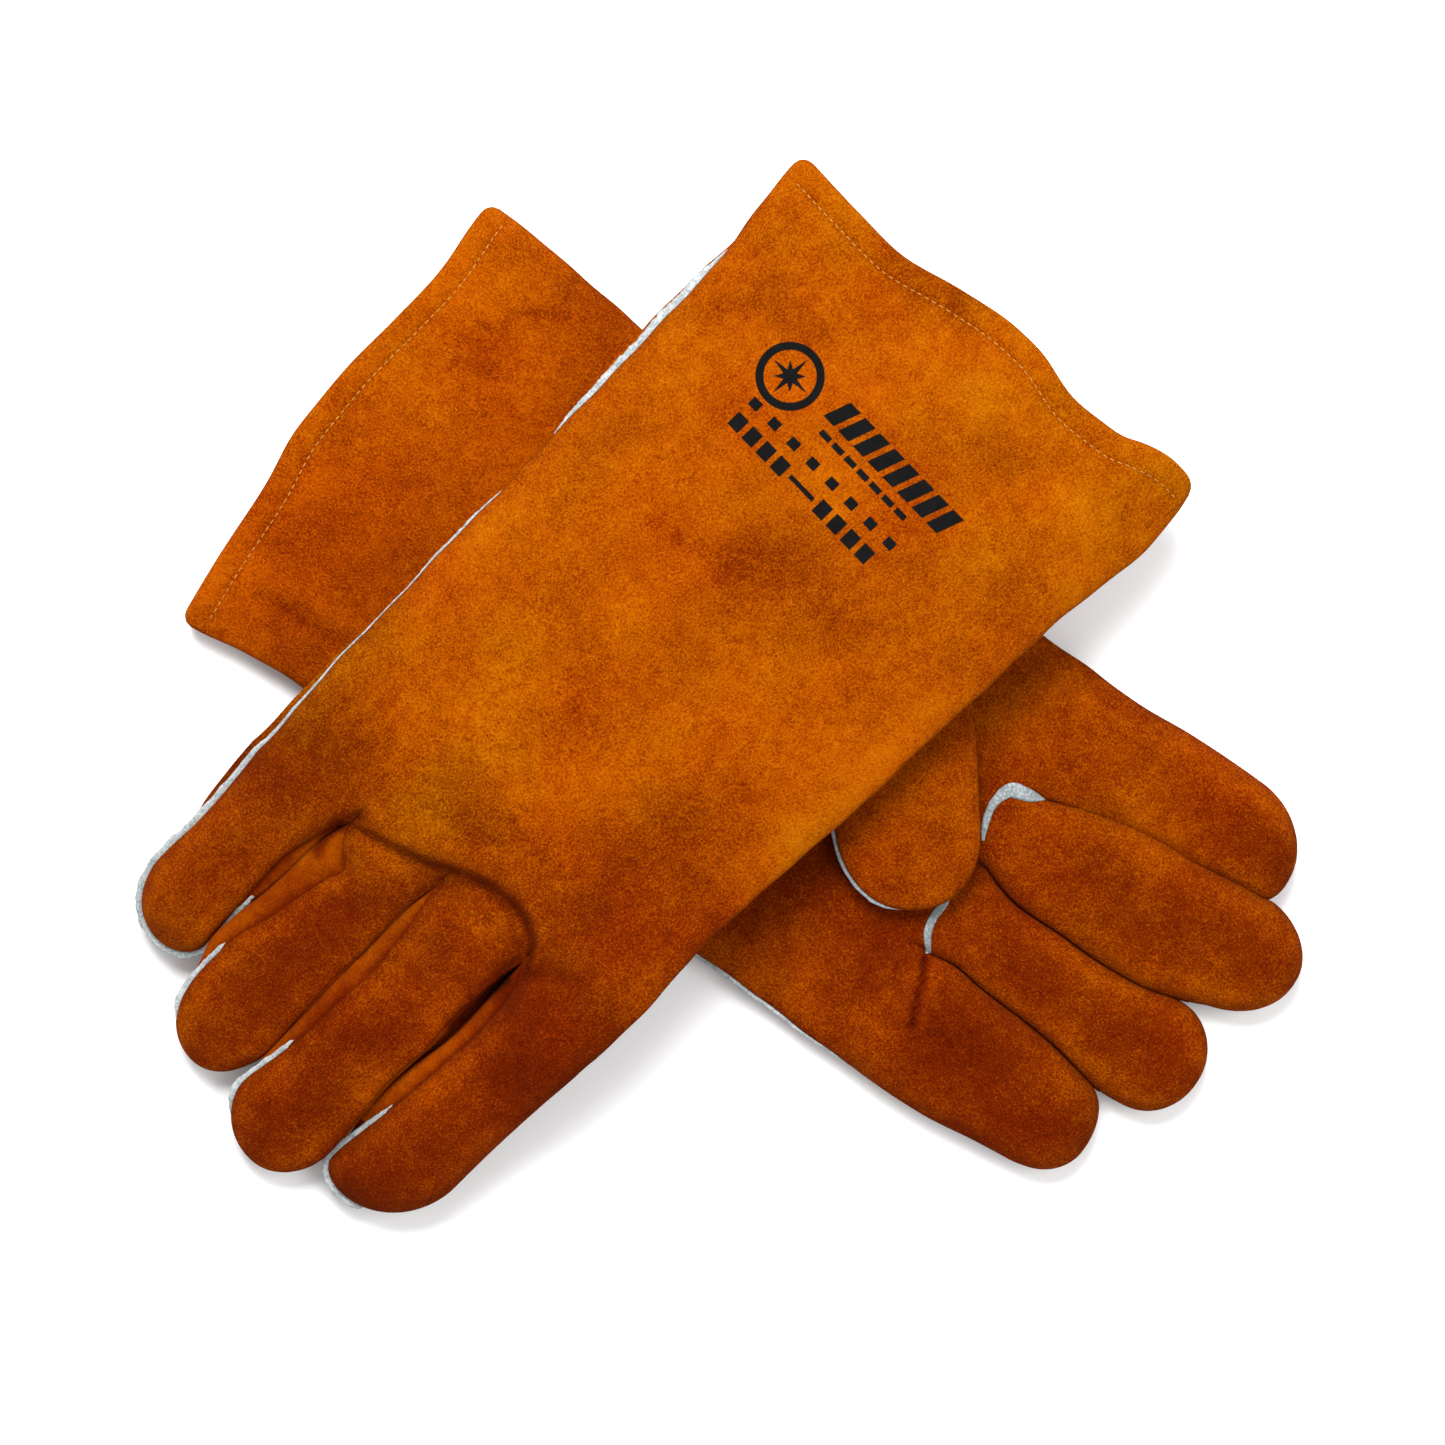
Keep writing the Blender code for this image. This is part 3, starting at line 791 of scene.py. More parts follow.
class Maker:
    """Makes one glove's pieces. Skins, bodies and CAD nodes are given without the glove's own name."""

    def __init__(self, glove, joints, materials):
        self.glove, self.axes, self.materials = glove, Axes(glove, joints), materials

    def full(self, *labels):
        return [f"{self.glove.name}_{label}" for label in labels]

    def mesh(self, skin, finish, normals=None):
        """A mesh object of a skin, with its place in the glove kept for its textures."""
        (name,) = self.full(skin.name)
        mesh = bpy.data.meshes.new(name)
        above_floor = np.maximum(skin.points, (-np.inf, -np.inf, FLOOR_GAP))
        mesh.from_pydata(self.axes.place(above_floor).tolist(), [], skin.faces)
        mesh.update()
        mesh.shade_smooth()
        place = skin.points + (TEXTURES_APART * self.glove.seed, 0, 0)
        marks = (
            ("rest", "FLOAT_VECTOR", "vector", place.reshape(-1)),
            ("tone", "FLOAT", "value", skin.tone),
            ("ochre", "FLOAT", "value", ochre_at(self.glove, skin.points)),
        )
        for mark, kind, field, values in marks:
            mesh.attributes.new(mark, kind, "POINT").data.foreach_set(field, values.astype(np.float32))
        if normals is not None:
            mesh.normals_split_custom_set_from_vertices(self.axes.turn(normals).tolist())
        mesh.materials.append(self.materials[finish])
        piece = bpy.data.objects.new(name, mesh)
        bpy.context.scene.collection.objects.link(piece)
        return piece

    def stiff(self, skin, finish, body, *cad_nodes, normals=None):
        """A piece that moves with one body, and stands for CAD nodes."""
        piece = self.mesh(skin, finish, normals)
        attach(piece, *self.full(body))
        if cad_nodes:
            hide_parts(*self.full(*cad_nodes))

    def bending(self, skin, finish, digit, *cad_nodes, normals=None):
        """A piece of a finger, baked in place, that stands for CAD nodes. Where its knuckle's bend starts
        and ends is worked out, but not used.
        """
        piece = self.mesh(skin, finish, normals)
        start = np.array((digit.root_end + BEND_START, digit.finger.base_v, digit.base_z + HINGE_RISE))
        end = start + np.append(digit.ahead * BEND_LENGTH, 0)
        start, end = self.axes.place(start).tolist(), self.axes.place(end).tolist()
        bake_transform(piece)
        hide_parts(*self.full(*cad_nodes))


# ---- materials

LEATHER_STOPS = (
    (0.0, (0.03, 0.002, 0.0)),
    (0.25, (0.08, 0.0065, 0.0)),
    (0.45, (0.115, 0.0125, 0.0)),
    (0.6, (0.183, 0.0285, 0.0)),
    (0.8, (0.285, 0.055, 0.0)),
    (1.0, (0.36, 0.087, 0.0007)),
)
# How much the leather's red and green change where it is red-brown, and where it is ochre.
RED_BROWN = (1.03, 0.84)
OCHRE = (0.95, 1.27)
# The colour inputs and output of a mix node, whose names are shared with its other kinds of data.
MIX_FIRST, MIX_SECOND, MIX_RESULT = 6, 7, 2
SHEEN_ROUGHNESS = 0.45


class Look:
    """A material in the making."""

    def __init__(self, name, roughness, specular, sheen=0.0, tint=(1, 1, 1)):
        self.material = bpy.data.materials.new(name)
        self.material.use_nodes = True
        self.tree = self.material.node_tree
        self.shader = self.tree.nodes["Principled BSDF"]
        self.shader.inputs["Roughness"].default_value = roughness
        self.shader.inputs["Sheen Weight"].default_value = sheen
        self.shader.inputs["Sheen Roughness"].default_value = SHEEN_ROUGHNESS
        self.shader.inputs["Sheen Tint"].default_value = (*tint, 1)
        self.shader.inputs["Specular IOR Level"].default_value = specular

    def node(self, kind, inputs, **settings):
        made = self.tree.nodes.new(kind)
        for name, value in settings.items():
            setattr(made, name, value)
        for name, value in inputs.items():
            if isinstance(value, bpy.types.NodeSocket):
                self.tree.links.new(value, made.inputs[name])
            else:
                made.inputs[name].default_value = value
        return made

    def place(self):
        """Millimetres in the flat glove, which stay with the leather as it bends."""
        return self.node("ShaderNodeAttribute", {}, attribute_name="rest").outputs["Vector"]

    def kept(self, name):
        return self.node("ShaderNodeAttribute", {}, attribute_name=name).outputs["Fac"]

    def noise(self, place, size, detail=2.0, roughness=0.5):
        """Noise with bumps of about that many millimetres."""
        inputs = {"Vector": place, "Scale": 1 / size, "Detail": detail, "Roughness": roughness}
        return self.node("ShaderNodeTexNoise", inputs).outputs["Fac"]

    def yarns(self, place, direction):
        inputs = {"Vector": place, "Scale": 0.35, "Distortion": 0.6}
        return self.node("ShaderNodeTexWave", inputs, bands_direction=direction).outputs["Fac"]

    def maths(self, operation, first, second=0.0):
        return self.node("ShaderNodeMath", {0: first, 1: second}, operation=operation).outputs[0]

    def times(self, value, amount):
        return self.maths("MULTIPLY", value, amount)

    def swing(self, value, amount):
        """value less its middle, times amount."""
        return self.times(self.maths("SUBTRACT", value, 0.5), amount)

    def total(self, *values):
        result = values[0]
        for value in values[1:]:
            result = self.maths("ADD", result, value)
        return result

    def ramp(self, value, stops, red=1.0, green=1.0):
        """The colour at value among the stops, with more or less red and green."""
        made = self.node("ShaderNodeValToRGB", {"Fac": value})
        points = made.color_ramp.elements
        while len(points) < len(stops):
            points.new(0.5)
        for point, (position, (r, g, b)) in zip(points, stops):
            point.position = position
            point.color = (r * red, g * green, b, 1)
        return made.outputs["Color"]

    def finish(self, colour, height=None, depth=0.0):
        """Colours the surface, and raises it by height, from 0 to 1, times that many millimetres."""
        self.tree.links.new(colour, self.shader.inputs["Base Color"])
        if height is not None:
            bump = self.node("ShaderNodeBump", {"Height": height, "Distance": depth * MM, "Strength": 1.0})
            self.tree.links.new(bump.outputs["Normal"], self.shader.inputs["Normal"])
        return self.material


def suede(name, nap):
    """Split leather: mottled, with a short nap and a few pale drag wrinkles."""
    look = Look(name, roughness=0.95, specular=0.01, sheen=0.02, tint=(1.0, 0.4, 0.08))
    place = look.place()
    clouds = look.noise(place, 26, 3)
    mottle = look.noise(place, 5, 3, 0.6)
    grain = look.noise(place, 0.65, 3, 0.75)
    from_line = look.maths("ABSOLUTE", look.maths("SUBTRACT", look.noise(place, 22, 3, 0.55), 0.5))
    near_line = look.maths("MAXIMUM", look.maths("SUBTRACT", 1.0, look.times(from_line, 42.0)))
    wrinkled_here = look.maths("MAXIMUM", look.swing(look.noise(place, 30, 2), 3.6))
    wrinkle = look.times(near_line, wrinkled_here)
    lightness = look.total(
        look.kept("tone"),
        look.swing(clouds, 0.3),
        look.swing(mottle, 0.37),
        look.swing(grain, nap),
        look.times(wrinkle, 0.12),
    )
    ochre = look.total(look.kept("ochre"), look.swing(mottle, 0.3), look.swing(grain, 0.9))
    colour = look.node("ShaderNodeMix", {"Factor": ochre}, data_type="RGBA")
    for socket, tint in ((MIX_FIRST, RED_BROWN), (MIX_SECOND, OCHRE)):
        look.tree.links.new(look.ramp(lightness, LEATHER_STOPS, *tint), colour.inputs[socket])
    fuzz = look.total(grain, look.times(mottle, 0.8), look.times(wrinkle, 0.4))
    return look.finish(colour.outputs[MIX_RESULT], fuzz, 1.1)


def welt_split():
    """The undyed split of the welts, with its cut fibres."""
    look = Look("grey_welt_split", roughness=0.95, specular=0.05, sheen=0.05)
    place = look.place()
    streak = look.noise(place, 0.9, 4, 0.7)
    blotch = look.noise(place, 4, 2)
    value = look.total(look.times(streak, 0.7), look.times(blotch, 0.3), look.swing(look.kept("tone"), 0.5))
    stops = ((0.3, (0.07, 0.085, 0.09)), (0.5, (0.17, 0.19, 0.195)), (0.7, (0.36, 0.38, 0.38)))
    return look.finish(look.ramp(value, stops), streak, 0.5)


def canvas_weave():
    look = Look("lining_canvas_weave", roughness=0.9, specular=0.15, sheen=0.1)
    place = look.place()
    weave = look.times(look.total(look.yarns(place, "X"), look.yarns(place, "Y")), 0.5)
    value = look.total(look.times(weave, 0.6), look.times(look.noise(place, 9, 3), 0.5))
    stops = ((0.1, (0.28, 0.24, 0.18)), (0.5, (0.5, 0.45, 0.36)), (0.9, (0.66, 0.61, 0.5)))
    return look.finish(look.ramp(value, stops), weave, 0.25)


def fleece_pile():
    look = Look("lining_fleece_pile", roughness=1.0, specular=0.05, sheen=0.35)
    pile = look.noise(look.place(), 1.8, 5, 0.7)
    stops = ((0.3, (0.3, 0.28, 0.25)), (0.7, (0.68, 0.65, 0.6)))
    return look.finish(look.ramp(pile, stops), pile, 1.2)


def seam_thread():
    look = Look("seam_thread", roughness=0.8, specular=0.1, sheen=0.02, tint=(1, 0.8, 0.5))
    twist = look.noise(look.place(), 0.5, 2)
    stops = ((0.3, (0.2, 0.075, 0.008)), (0.7, (0.42, 0.21, 0.04)))
    return look.finish(look.ramp(twist, stops), twist, 0.1)


def mark_ink():
    """Black ink, flaked off in flecks, so that the leather shows through."""
    look = Look("cuff_mark_ink", roughness=0.95, specular=0.01)
    place = look.place()
    flecks = look.total(look.swing(look.noise(place, 0.7, 3, 0.7), 1.0), look.noise(place, 5, 2))
    stops = ((0.0, (0.003, 0.003, 0.003)), (0.78, (0.005, 0.005, 0.005)), (0.95, (0.06, 0.012, 0.001)))
    return look.finish(look.ramp(flecks, stops), flecks, 0.3)


def floor_paper():
    look = Look("studio_floor_paper", roughness=0.8, specular=0.1)
    paper = look.node("ShaderNodeTexNoise", {"Scale": 6.0}).outputs["Fac"]
    return look.finish(look.ramp(paper, ((0.3, (0.73, 0.73, 0.73)), (0.7, (0.76, 0.76, 0.76)))))


def make_materials():
    return {
        "leather": suede("orange_suede", nap=1.4),
        "fourchette": suede("fourchette_suede", nap=0.5),
        "welt": welt_split(),
        "canvas": canvas_weave(),
        "fleece": fleece_pile(),
        "thread": seam_thread(),
        "ink": mark_ink(),
    }


# ---- one glove's pieces


def hand_skin(hand):
    """The points and tone of the cuff and hand, with the cuff's edge turned in."""
    glove, start = hand.glove, hand.start
    steps = [(start + HEM_WIDTH * (1 - k / TURNED_ROWS), 2 * HEM_ROLL) for k in range(TURNED_ROWS)]
    for angle in np.linspace(0, math.pi, ROLL_ROWS):
        steps.append((start + HEM_ROLL * (1 - math.sin(angle)), HEM_ROLL * (1 + math.cos(angle))))
    hem = np.linspace(0, HEM_SHARE, HEM_ROWS + 1)[1:]
    for share in (*hem, *mix(HEM_SHARE, 1, slowing(HAND_ROWS + 1, HAND_CROWDING)[1:])):
        steps.append((mix(start + HEM_ROLL, hand.end, share), 0.0))
    grid = hand.rings(steps)
    turned = 1 + len(hand.columns)
    top, below = grid[:, :turned], grid[:, turned:]
    across = np.concatenate(([-1.0], 2 * hand.columns - 1))
    # Painted highlight on the hand's top near its two side edges, where the rounded leather catches the
    # light, faded out towards the mouth and the fingers.
    along = smoothstep(40, 90, top[..., 0]) * (1 - smoothstep(225, 250, top[..., 0]))
    painted_rim_highlight = 0.07 * painted_edge_highlight(across, 0.92, 0.07) * along
    return grid, np.concatenate((tone_at(glove, top, 1, painted_rim_highlight), tone_at(glove, below, -1)), axis=1)


class Digit:
    """A finger's centre line and sizes. x runs along it in millimetres, and y from -1 to 1 across it.

    Its side 0 is the little finger's side and its side 1 the thumb's.
    """

    def __init__(self, glove, finger):
        self.glove, self.finger = glove, finger
        self.base = np.array((KNUCKLE, finger.base_v))
        step = np.array(finger.tip, float) - self.base
        self.length = float(np.linalg.norm(step))
        self.ahead = step / self.length
        self.aside = np.array((-self.ahead[1], self.ahead[0]))
        self.base_z = float(glove.underside(KNUCKLE)) + HALF_HEIGHT
        self.tip_z = glove.tip_underside + FINGER_HALF_HEIGHT

    def roundness(self, x, reach):
        """1 along the finger, falling to 0 over its last reach millimetres."""
        into_tip = np.clip((x - (self.length - reach)) / reach, 0, 1)
        return (1 - into_tip**FINGERTIP_OVAL) ** (1 / FINGERTIP_OVAL)

    def rim(self, x, side):
        """How far a panel's edge stands off mid height."""
        kind = self.finger.sides[side].kind
        if kind == "fold":
            return 0 * x
        seam = SEAM_RIM * self.roundness(x, RIM_ROUNDING)
        if kind == "welt":
            return seam
        closed = smoothstep(FOURCHETTE_SHARE - 0.2, FOURCHETTE_SHARE, x / self.length)
        return mix(FOURCHETTE_RIM, seam, closed)

    def edge(self, x, side, layer):
        """How far sideways of the centre line a side lies. layer is "widest", "top" or "below"."""
        outline = self.finger.sides[side]
        u, v = (self.base[axis] + self.ahead[axis] * x for axis in (0, 1))
        full = (getattr(outline, layer)(u) - v) * self.ahead[0]
        return mix(self.finger.apex, full, self.roundness(x, outline.tip_reach))

    def at(self, x, sideways, rise):
        flat = self.base + x[..., None] * self.ahead + sideways[..., None] * self.aside
        middle = mix(self.base_z, self.tip_z, np.clip(x / self.length, 0, 1))
        return points_at(flat[..., 0], flat[..., 1], np.maximum(middle + rise, LEAST_FINGER_Z))

    def panel(self, x, y, layer):
        """The points of the smooth top or bottom skin."""
        x, y = np.broadcast_arrays(x, y)
        share = (y + 1) / 2
        sideways = mix(self.edge(x, 0, layer), self.edge(x, 1, layer), share)
        rim = mix(self.rim(x, 0), self.rim(x, 1), share)
        lift = self.finger.lift if layer == "top" else 0.0
        full = (FINGER_HALF_HEIGHT + lift) * self.roundness(x, PANEL_ROUNDING)
        rise = rim + np.maximum(full - rim, 0) * bulge(y, self.glove.squareness)
        return self.at(x, sideways, rise if layer == "top" else -rise)

    def grow(self, hand, ring, k):
        """The finger's leather. Its first loop is part of the hand's last ring, so that the two meet."""
        columns = len(hand.columns)
        first, last = k * COLUMNS_PER_FINGER, (k + 1) * COLUMNS_PER_FINGER
        top_root = ring[1 + first : 2 + last]
        below = np.concatenate((ring[: columns - 1 : -1], ring[columns : columns + 1]))
        below_root = below[first : last + 1]
        x_start = float(np.mean((top_root[:, :2] - self.base) @ self.ahead))
        x = mix(x_start, self.length, slowing(FINGER_ROWS + 1, FINGER_CROWDING))[:, None]
        over = hand.columns[first : last + 1]
        y = (2 * (over - over[0]) / (over[-1] - over[0]) - 1)[None]
        settle = (1 - smoothstep(x_start, x_start + ROOT_SHARE * self.length, x))[..., None]
        grown = bulge(y, SOFT_SQUARENESS) * self.roundness(x, RIM_ROUNDING)

        def settled(layer, root, side):
            """A panel that starts at the hand's last ring and takes its own shape further on."""
            panel = self.panel(x, y, layer)
            panel = panel + (root - panel[0]) * (1, 1, 0) * settle
            panel = panel + relief(self.glove, panel, side, grown)
            return panel + (root - panel[0]) * settle

        top, below = settled("top", top_root, 1), settled("below", below_root, -1)
        loops = [top]
        for side in (1, 0):
            folded = self.finger.sides[side].kind == "fold"
            if not folded:
                inward = GROOVE_DEPTH * self.roundness(x, GROOVE_ROUNDING) * (1 - 2 * side)
                groove = self.at(x, self.edge(x, side, "top") + inward, 0 * x)
                at_seam = k == 0 and side == 0
                root = ring[:1] if at_seam else (top_root[-side] + below_root[-side])[None] / 2
                loops.append(groove + (root - groove[0]) * settle)
            if side == 1:
                loops.append(below[:, ::-1][:, int(folded) :])
        grid = np.concatenate(loops, axis=1)

        # The rows that the fourchettes' walls are built on, and where the bend begins.
        self.x, self.settle = x, settle[:, 0]
        self.edges = [(top[:, -side], below[:, -side]) for side in (0, 1)]
        self.root_end = float(grid[0, :, 0].max())

        low, high = self.edge(x, 0, "top"), self.edge(x, 1, "top")
        across = 2 * ((grid[..., :2] - self.base) @ self.aside - low) / np.maximum(high - low, 1) - 1
        # Painted highlight along the finger's two rounded edges, and painted shade down its middle.
        extra = self.finger.tone + 0.09 * painted_edge_highlight(across, 0.74, 0.2)
        tone = tone_at(self.glove, grid, 1, extra * smoothstep(x_start, x_start + 25, x))
        return from_grid(f"{self.finger.name}_leather", grid, tone)


def make_fourchette(maker, digit, side):
    """The narrow wall of a finger, bulging out between the edges of its two panels."""
    name = f"{digit.finger.name}_fourchette_{('little_side', 'thumb_side')[side]}"
    rows = int(np.searchsorted(digit.x[:, 0], FOURCHETTE_SHARE * digit.length))
    x, settle = digit.x[:rows], digit.settle[:rows]
    top_edge, below_edge = (edge[:rows] for edge in digit.edges[side])
    angle = np.linspace(math.pi / 2, -math.pi / 2, WALL_COLUMNS)[None, :, None]
    inward = 0.5 * (1 - 2 * side) * digit.aside
    middle = (top_edge + below_edge) / 2
    widest = digit.at(x, digit.edge(x, side, "widest"), 0 * x)[:, 0]
    widest = widest + (middle[:1] - widest[:1]) * settle
    widest[:, :2] -= 0.6 * inward * (1 - settle)
    panel_edge = np.where(angle > 0, top_edge[:, None], below_edge[:, None])
    flat = mix(panel_edge[..., :2] + inward, widest[:, None, :2], np.cos(angle) ** 0.8)
    half = np.where(angle > 0, (top_edge - middle)[:, None, 2:], (middle - below_edge)[:, None, 2:])
    grid = np.concatenate((flat, middle[:, None, 2:] + half * np.sin(angle)), axis=-1)
    # Painted shade along the wall's top and bottom edges, where it tucks in under the panels' edges.
    tone = tone_at(maker.glove, grid, 1, 0.16) - 0.35 * np.abs(np.linspace(-1, 1, WALL_COLUMNS)) ** 6
    skin = from_grid(f"{name}_wall", grid, tone, closed=False, flip=side == 0)
    maker.bending(skin, "fourchette", digit, name)


class Strip(NamedTuple):
    """How a welt is cut."""

    thickness: float
    seed: float
    taper: float
    tone: float


def welt_skin(name, path, outward, reach, strip):
    """A strip of grey split with a ragged cut edge, lying along a path and standing out from it by reach."""
    above = np.cross(outward, unit(np.gradient(path, axis=0)))
    above *= np.sign(above[:, 2:] + 1e-9)
    spread = np.linspace(0, 1, len(path))
    ends = np.clip(np.minimum(spread, 1 - spread) * strip.taper, 0.12, 1)
    ragged = 1 + 0.22 * waves(path, 1.2, strip.seed) + 0.16 * waves(path, 4.5, strip.seed + 1)
    thick = strip.thickness * ends * (1 + 0.25 * waves(path, 3, strip.seed + 2))
    rings = []
    for out, up in WELT_SECTION:
        out_by = reach * ends * ragged * out if out > 0 else np.full(len(path), out)
        rings.append(path + outward * out_by[:, None] + above * (thick * up)[:, None])
    return from_grid(name, np.stack(rings, axis=1), strip.tone)


def make_tip_welt(maker, digit):
    """The welt round a fingertip. It shows where the back of the hand is up, mostly on the little side."""
    glove, finger = maker.glove, digit.finger
    name = f"{finger.name}_tip_welt"
    all_round = finger.sides[0].kind == "welt"
    share = np.linspace(0, 1, 2 * TIP_WELT_ROWS - 1)
    in_valley = smoothstep(0.6, 0.72, share)
    if glove.palm_up:
        hidden = 1 + 0 * share
        in_valley = in_valley + (0 if all_round else 1 - smoothstep(0.28, 0.4, share))
    elif all_round:
        hidden = 0 * share
    else:
        hidden = smoothstep(*((0.55, 0.8) if finger.name == "index" else (0.24, 0.4)), share)

    # Down the little side from from_x to the tip, and back up the thumb's side to to_x.
    from_x = 0.0 if all_round else (0.8 if glove.palm_up else 0.52) * digit.length
    to_x = 0.52 * digit.length if all_round else digit.length - 12
    sides = []
    for side, start in ((0, from_x), (1, to_x)):
        x = mix(start, digit.length - 0.05, slowing(TIP_WELT_ROWS, TIP_WELT_CROWDING))
        sides.append(digit.at(x, digit.edge(x, side, "top"), 0.8 * digit.rim(x, side)))
    line = np.concatenate((sides[0], sides[1][-2::-1]))
    outward = right_of(line)
    tuck = TIP_WELT_TUCK * hidden * (1 + 1.2 * in_valley)
    line -= (outward + (0, 0, 1)) * tuck[:, None]
    reach = mix(TIP_WELT_REACH, TIP_WELT_HIDDEN_REACH, hidden)
    if not all_round:
        reach = reach * mix(0.75, 1, smoothstep(0.1, 0.3, share))
    taper = QUICK_TAPER if all_round and not glove.palm_up else SLOW_TAPER
    strip = Strip(WELT_THICKNESS, glove.seed + 40 + 3 * finger.base_v, taper, TIP_WELT_TONE)
    maker.bending(welt_skin(f"{name}_strip", line, outward, reach, strip), "welt", digit, name)


def make_side_welt(maker):
    """The welt in the little finger's side seam."""
    glove = maker.glove
    u = np.linspace(*SIDE_WELT_SPAN, SIDE_WELT_ROWS)
    reach = glove.side_welt(u)
    v = glove.little_edge(u) + 0.2 + SIDE_WELT_TUCK * (1 - smoothstep(0.0, 0.5, reach))
    path = points_at(u, v, glove.underside(u) + HALF_HEIGHT)
    outward = np.tile((0.0, -1.0, 0.0), (len(u), 1))
    strip = Strip(SIDE_WELT_THICKNESS, glove.seed + 50, QUICK_TAPER, SIDE_WELT_TONE)
    maker.stiff(welt_skin("side_welt_strip", path, outward, reach, strip), "welt", "hand", "side_welt")


def make_base_welt(maker, hand):
    """The welt across the palm at the foot of the two middle fingers."""
    side = 1 if maker.glove.palm_up else -1
    parts = []
    for line, widths in maker.glove.base_welt:
        travel = lengths_along(line)
        where = np.linspace(0, travel[-1], BASE_WELT_ROWS)
        u, v, half = (curve(list(zip(travel, values)))(where) for values in (*zip(*line), widths))
        path = points_at(u, v, 0.0)
        half = half * (1 + 0.12 * waves(path, 2.5, 77))
        rows = []
        for place, rise in BASE_WELT_SECTION:
            spot = path - right_of(path) * (half * place)[:, None]
            row = hand.skin_at(spot[:, 0], spot[:, 1], side)
            row[:, 2] += side * rise
            rows.append(row)
        faces = grid_faces(BASE_WELT_ROWS, len(rows), closed=False)
        parts.append((np.stack(rows, axis=1).reshape(-1, 3), [face[::side] for face in faces]))
    skin = joined("finger_base_welt_strip", parts, WELT_TONE)
    maker.stiff(skin, "welt", "hand", "finger_base_welt")


def make_linings(maker, hand):
    """The canvas sleeve in the cuff and the fleece beyond it."""
    even = np.ones_like(hand.columns)
    canvas = (hand.start + CANVAS_FROM_MOUTH, CANVAS_END * even, LINING_INSET)
    fleece = (FLEECE_START * even, FLEECE_END * even, LINING_INSET + 0.6)
    for place, finish, (low, high, inset) in (("cuff", "canvas", canvas), ("hand", "fleece", fleece)):
        grid = hand.rings([(mix(low, high, share), inset) for share in np.linspace(0, 1, LINING_ROWS)])
        grid[..., 2] += 0.2 * waves(grid, 12, maker.glove.seed + 60)
        skin = from_grid(f"{place}_{finish}_sleeve", grid, 0.5, flip=True)
        maker.stiff(skin, finish, "hand", f"{place}_lining")


def make_hem_stitches(maker, hand):
    """Two rows of thread that hold the turned-in edge. Each stitch dives into the leather at both ends."""
    angle = math.tau * np.arange(THREAD_CORNERS)[:, None] / THREAD_CORNERS
    wide = np.array((0.5, 1.0, 1.1, 1.0, 0.5))[:, None, None]
    for side, label in ((1, "upper"), (-1, "lower")):
        over = np.linspace(0.015, 0.985, 240)
        line = hand.fold(hand.at(hand.mouth_edge(over) + HEM_STITCH_LINE, over, side), over, side)
        travel = lengths_along(line)
        stitches = []
        for start in np.arange(STITCH_SPACING, travel[-1] - STITCH_LENGTH, STITCH_SPACING):
            where = start + np.linspace(0, STITCH_LENGTH, 5)
            core = np.stack([np.interp(where, travel, line[:, axis]) for axis in range(3)], axis=1)
            core[:, 2] += side * THREAD_RADIUS * np.array((-1.3, 0.45, 0.75, 0.45, -1.3))
            beside = np.cross(unit(core[-1:] - core[:1]), (0, 0, 1))
            loop = THREAD_RADIUS * (beside * np.cos(angle) + (0, 0, 0.8) * np.sin(angle))
            stitches.append(((core[:, None] + loop * wide).reshape(-1, 3), grid_faces(5, THREAD_CORNERS)))
        maker.stiff(joined(f"hem_stitches_{label}", stitches, 0.5), "thread", "hand")


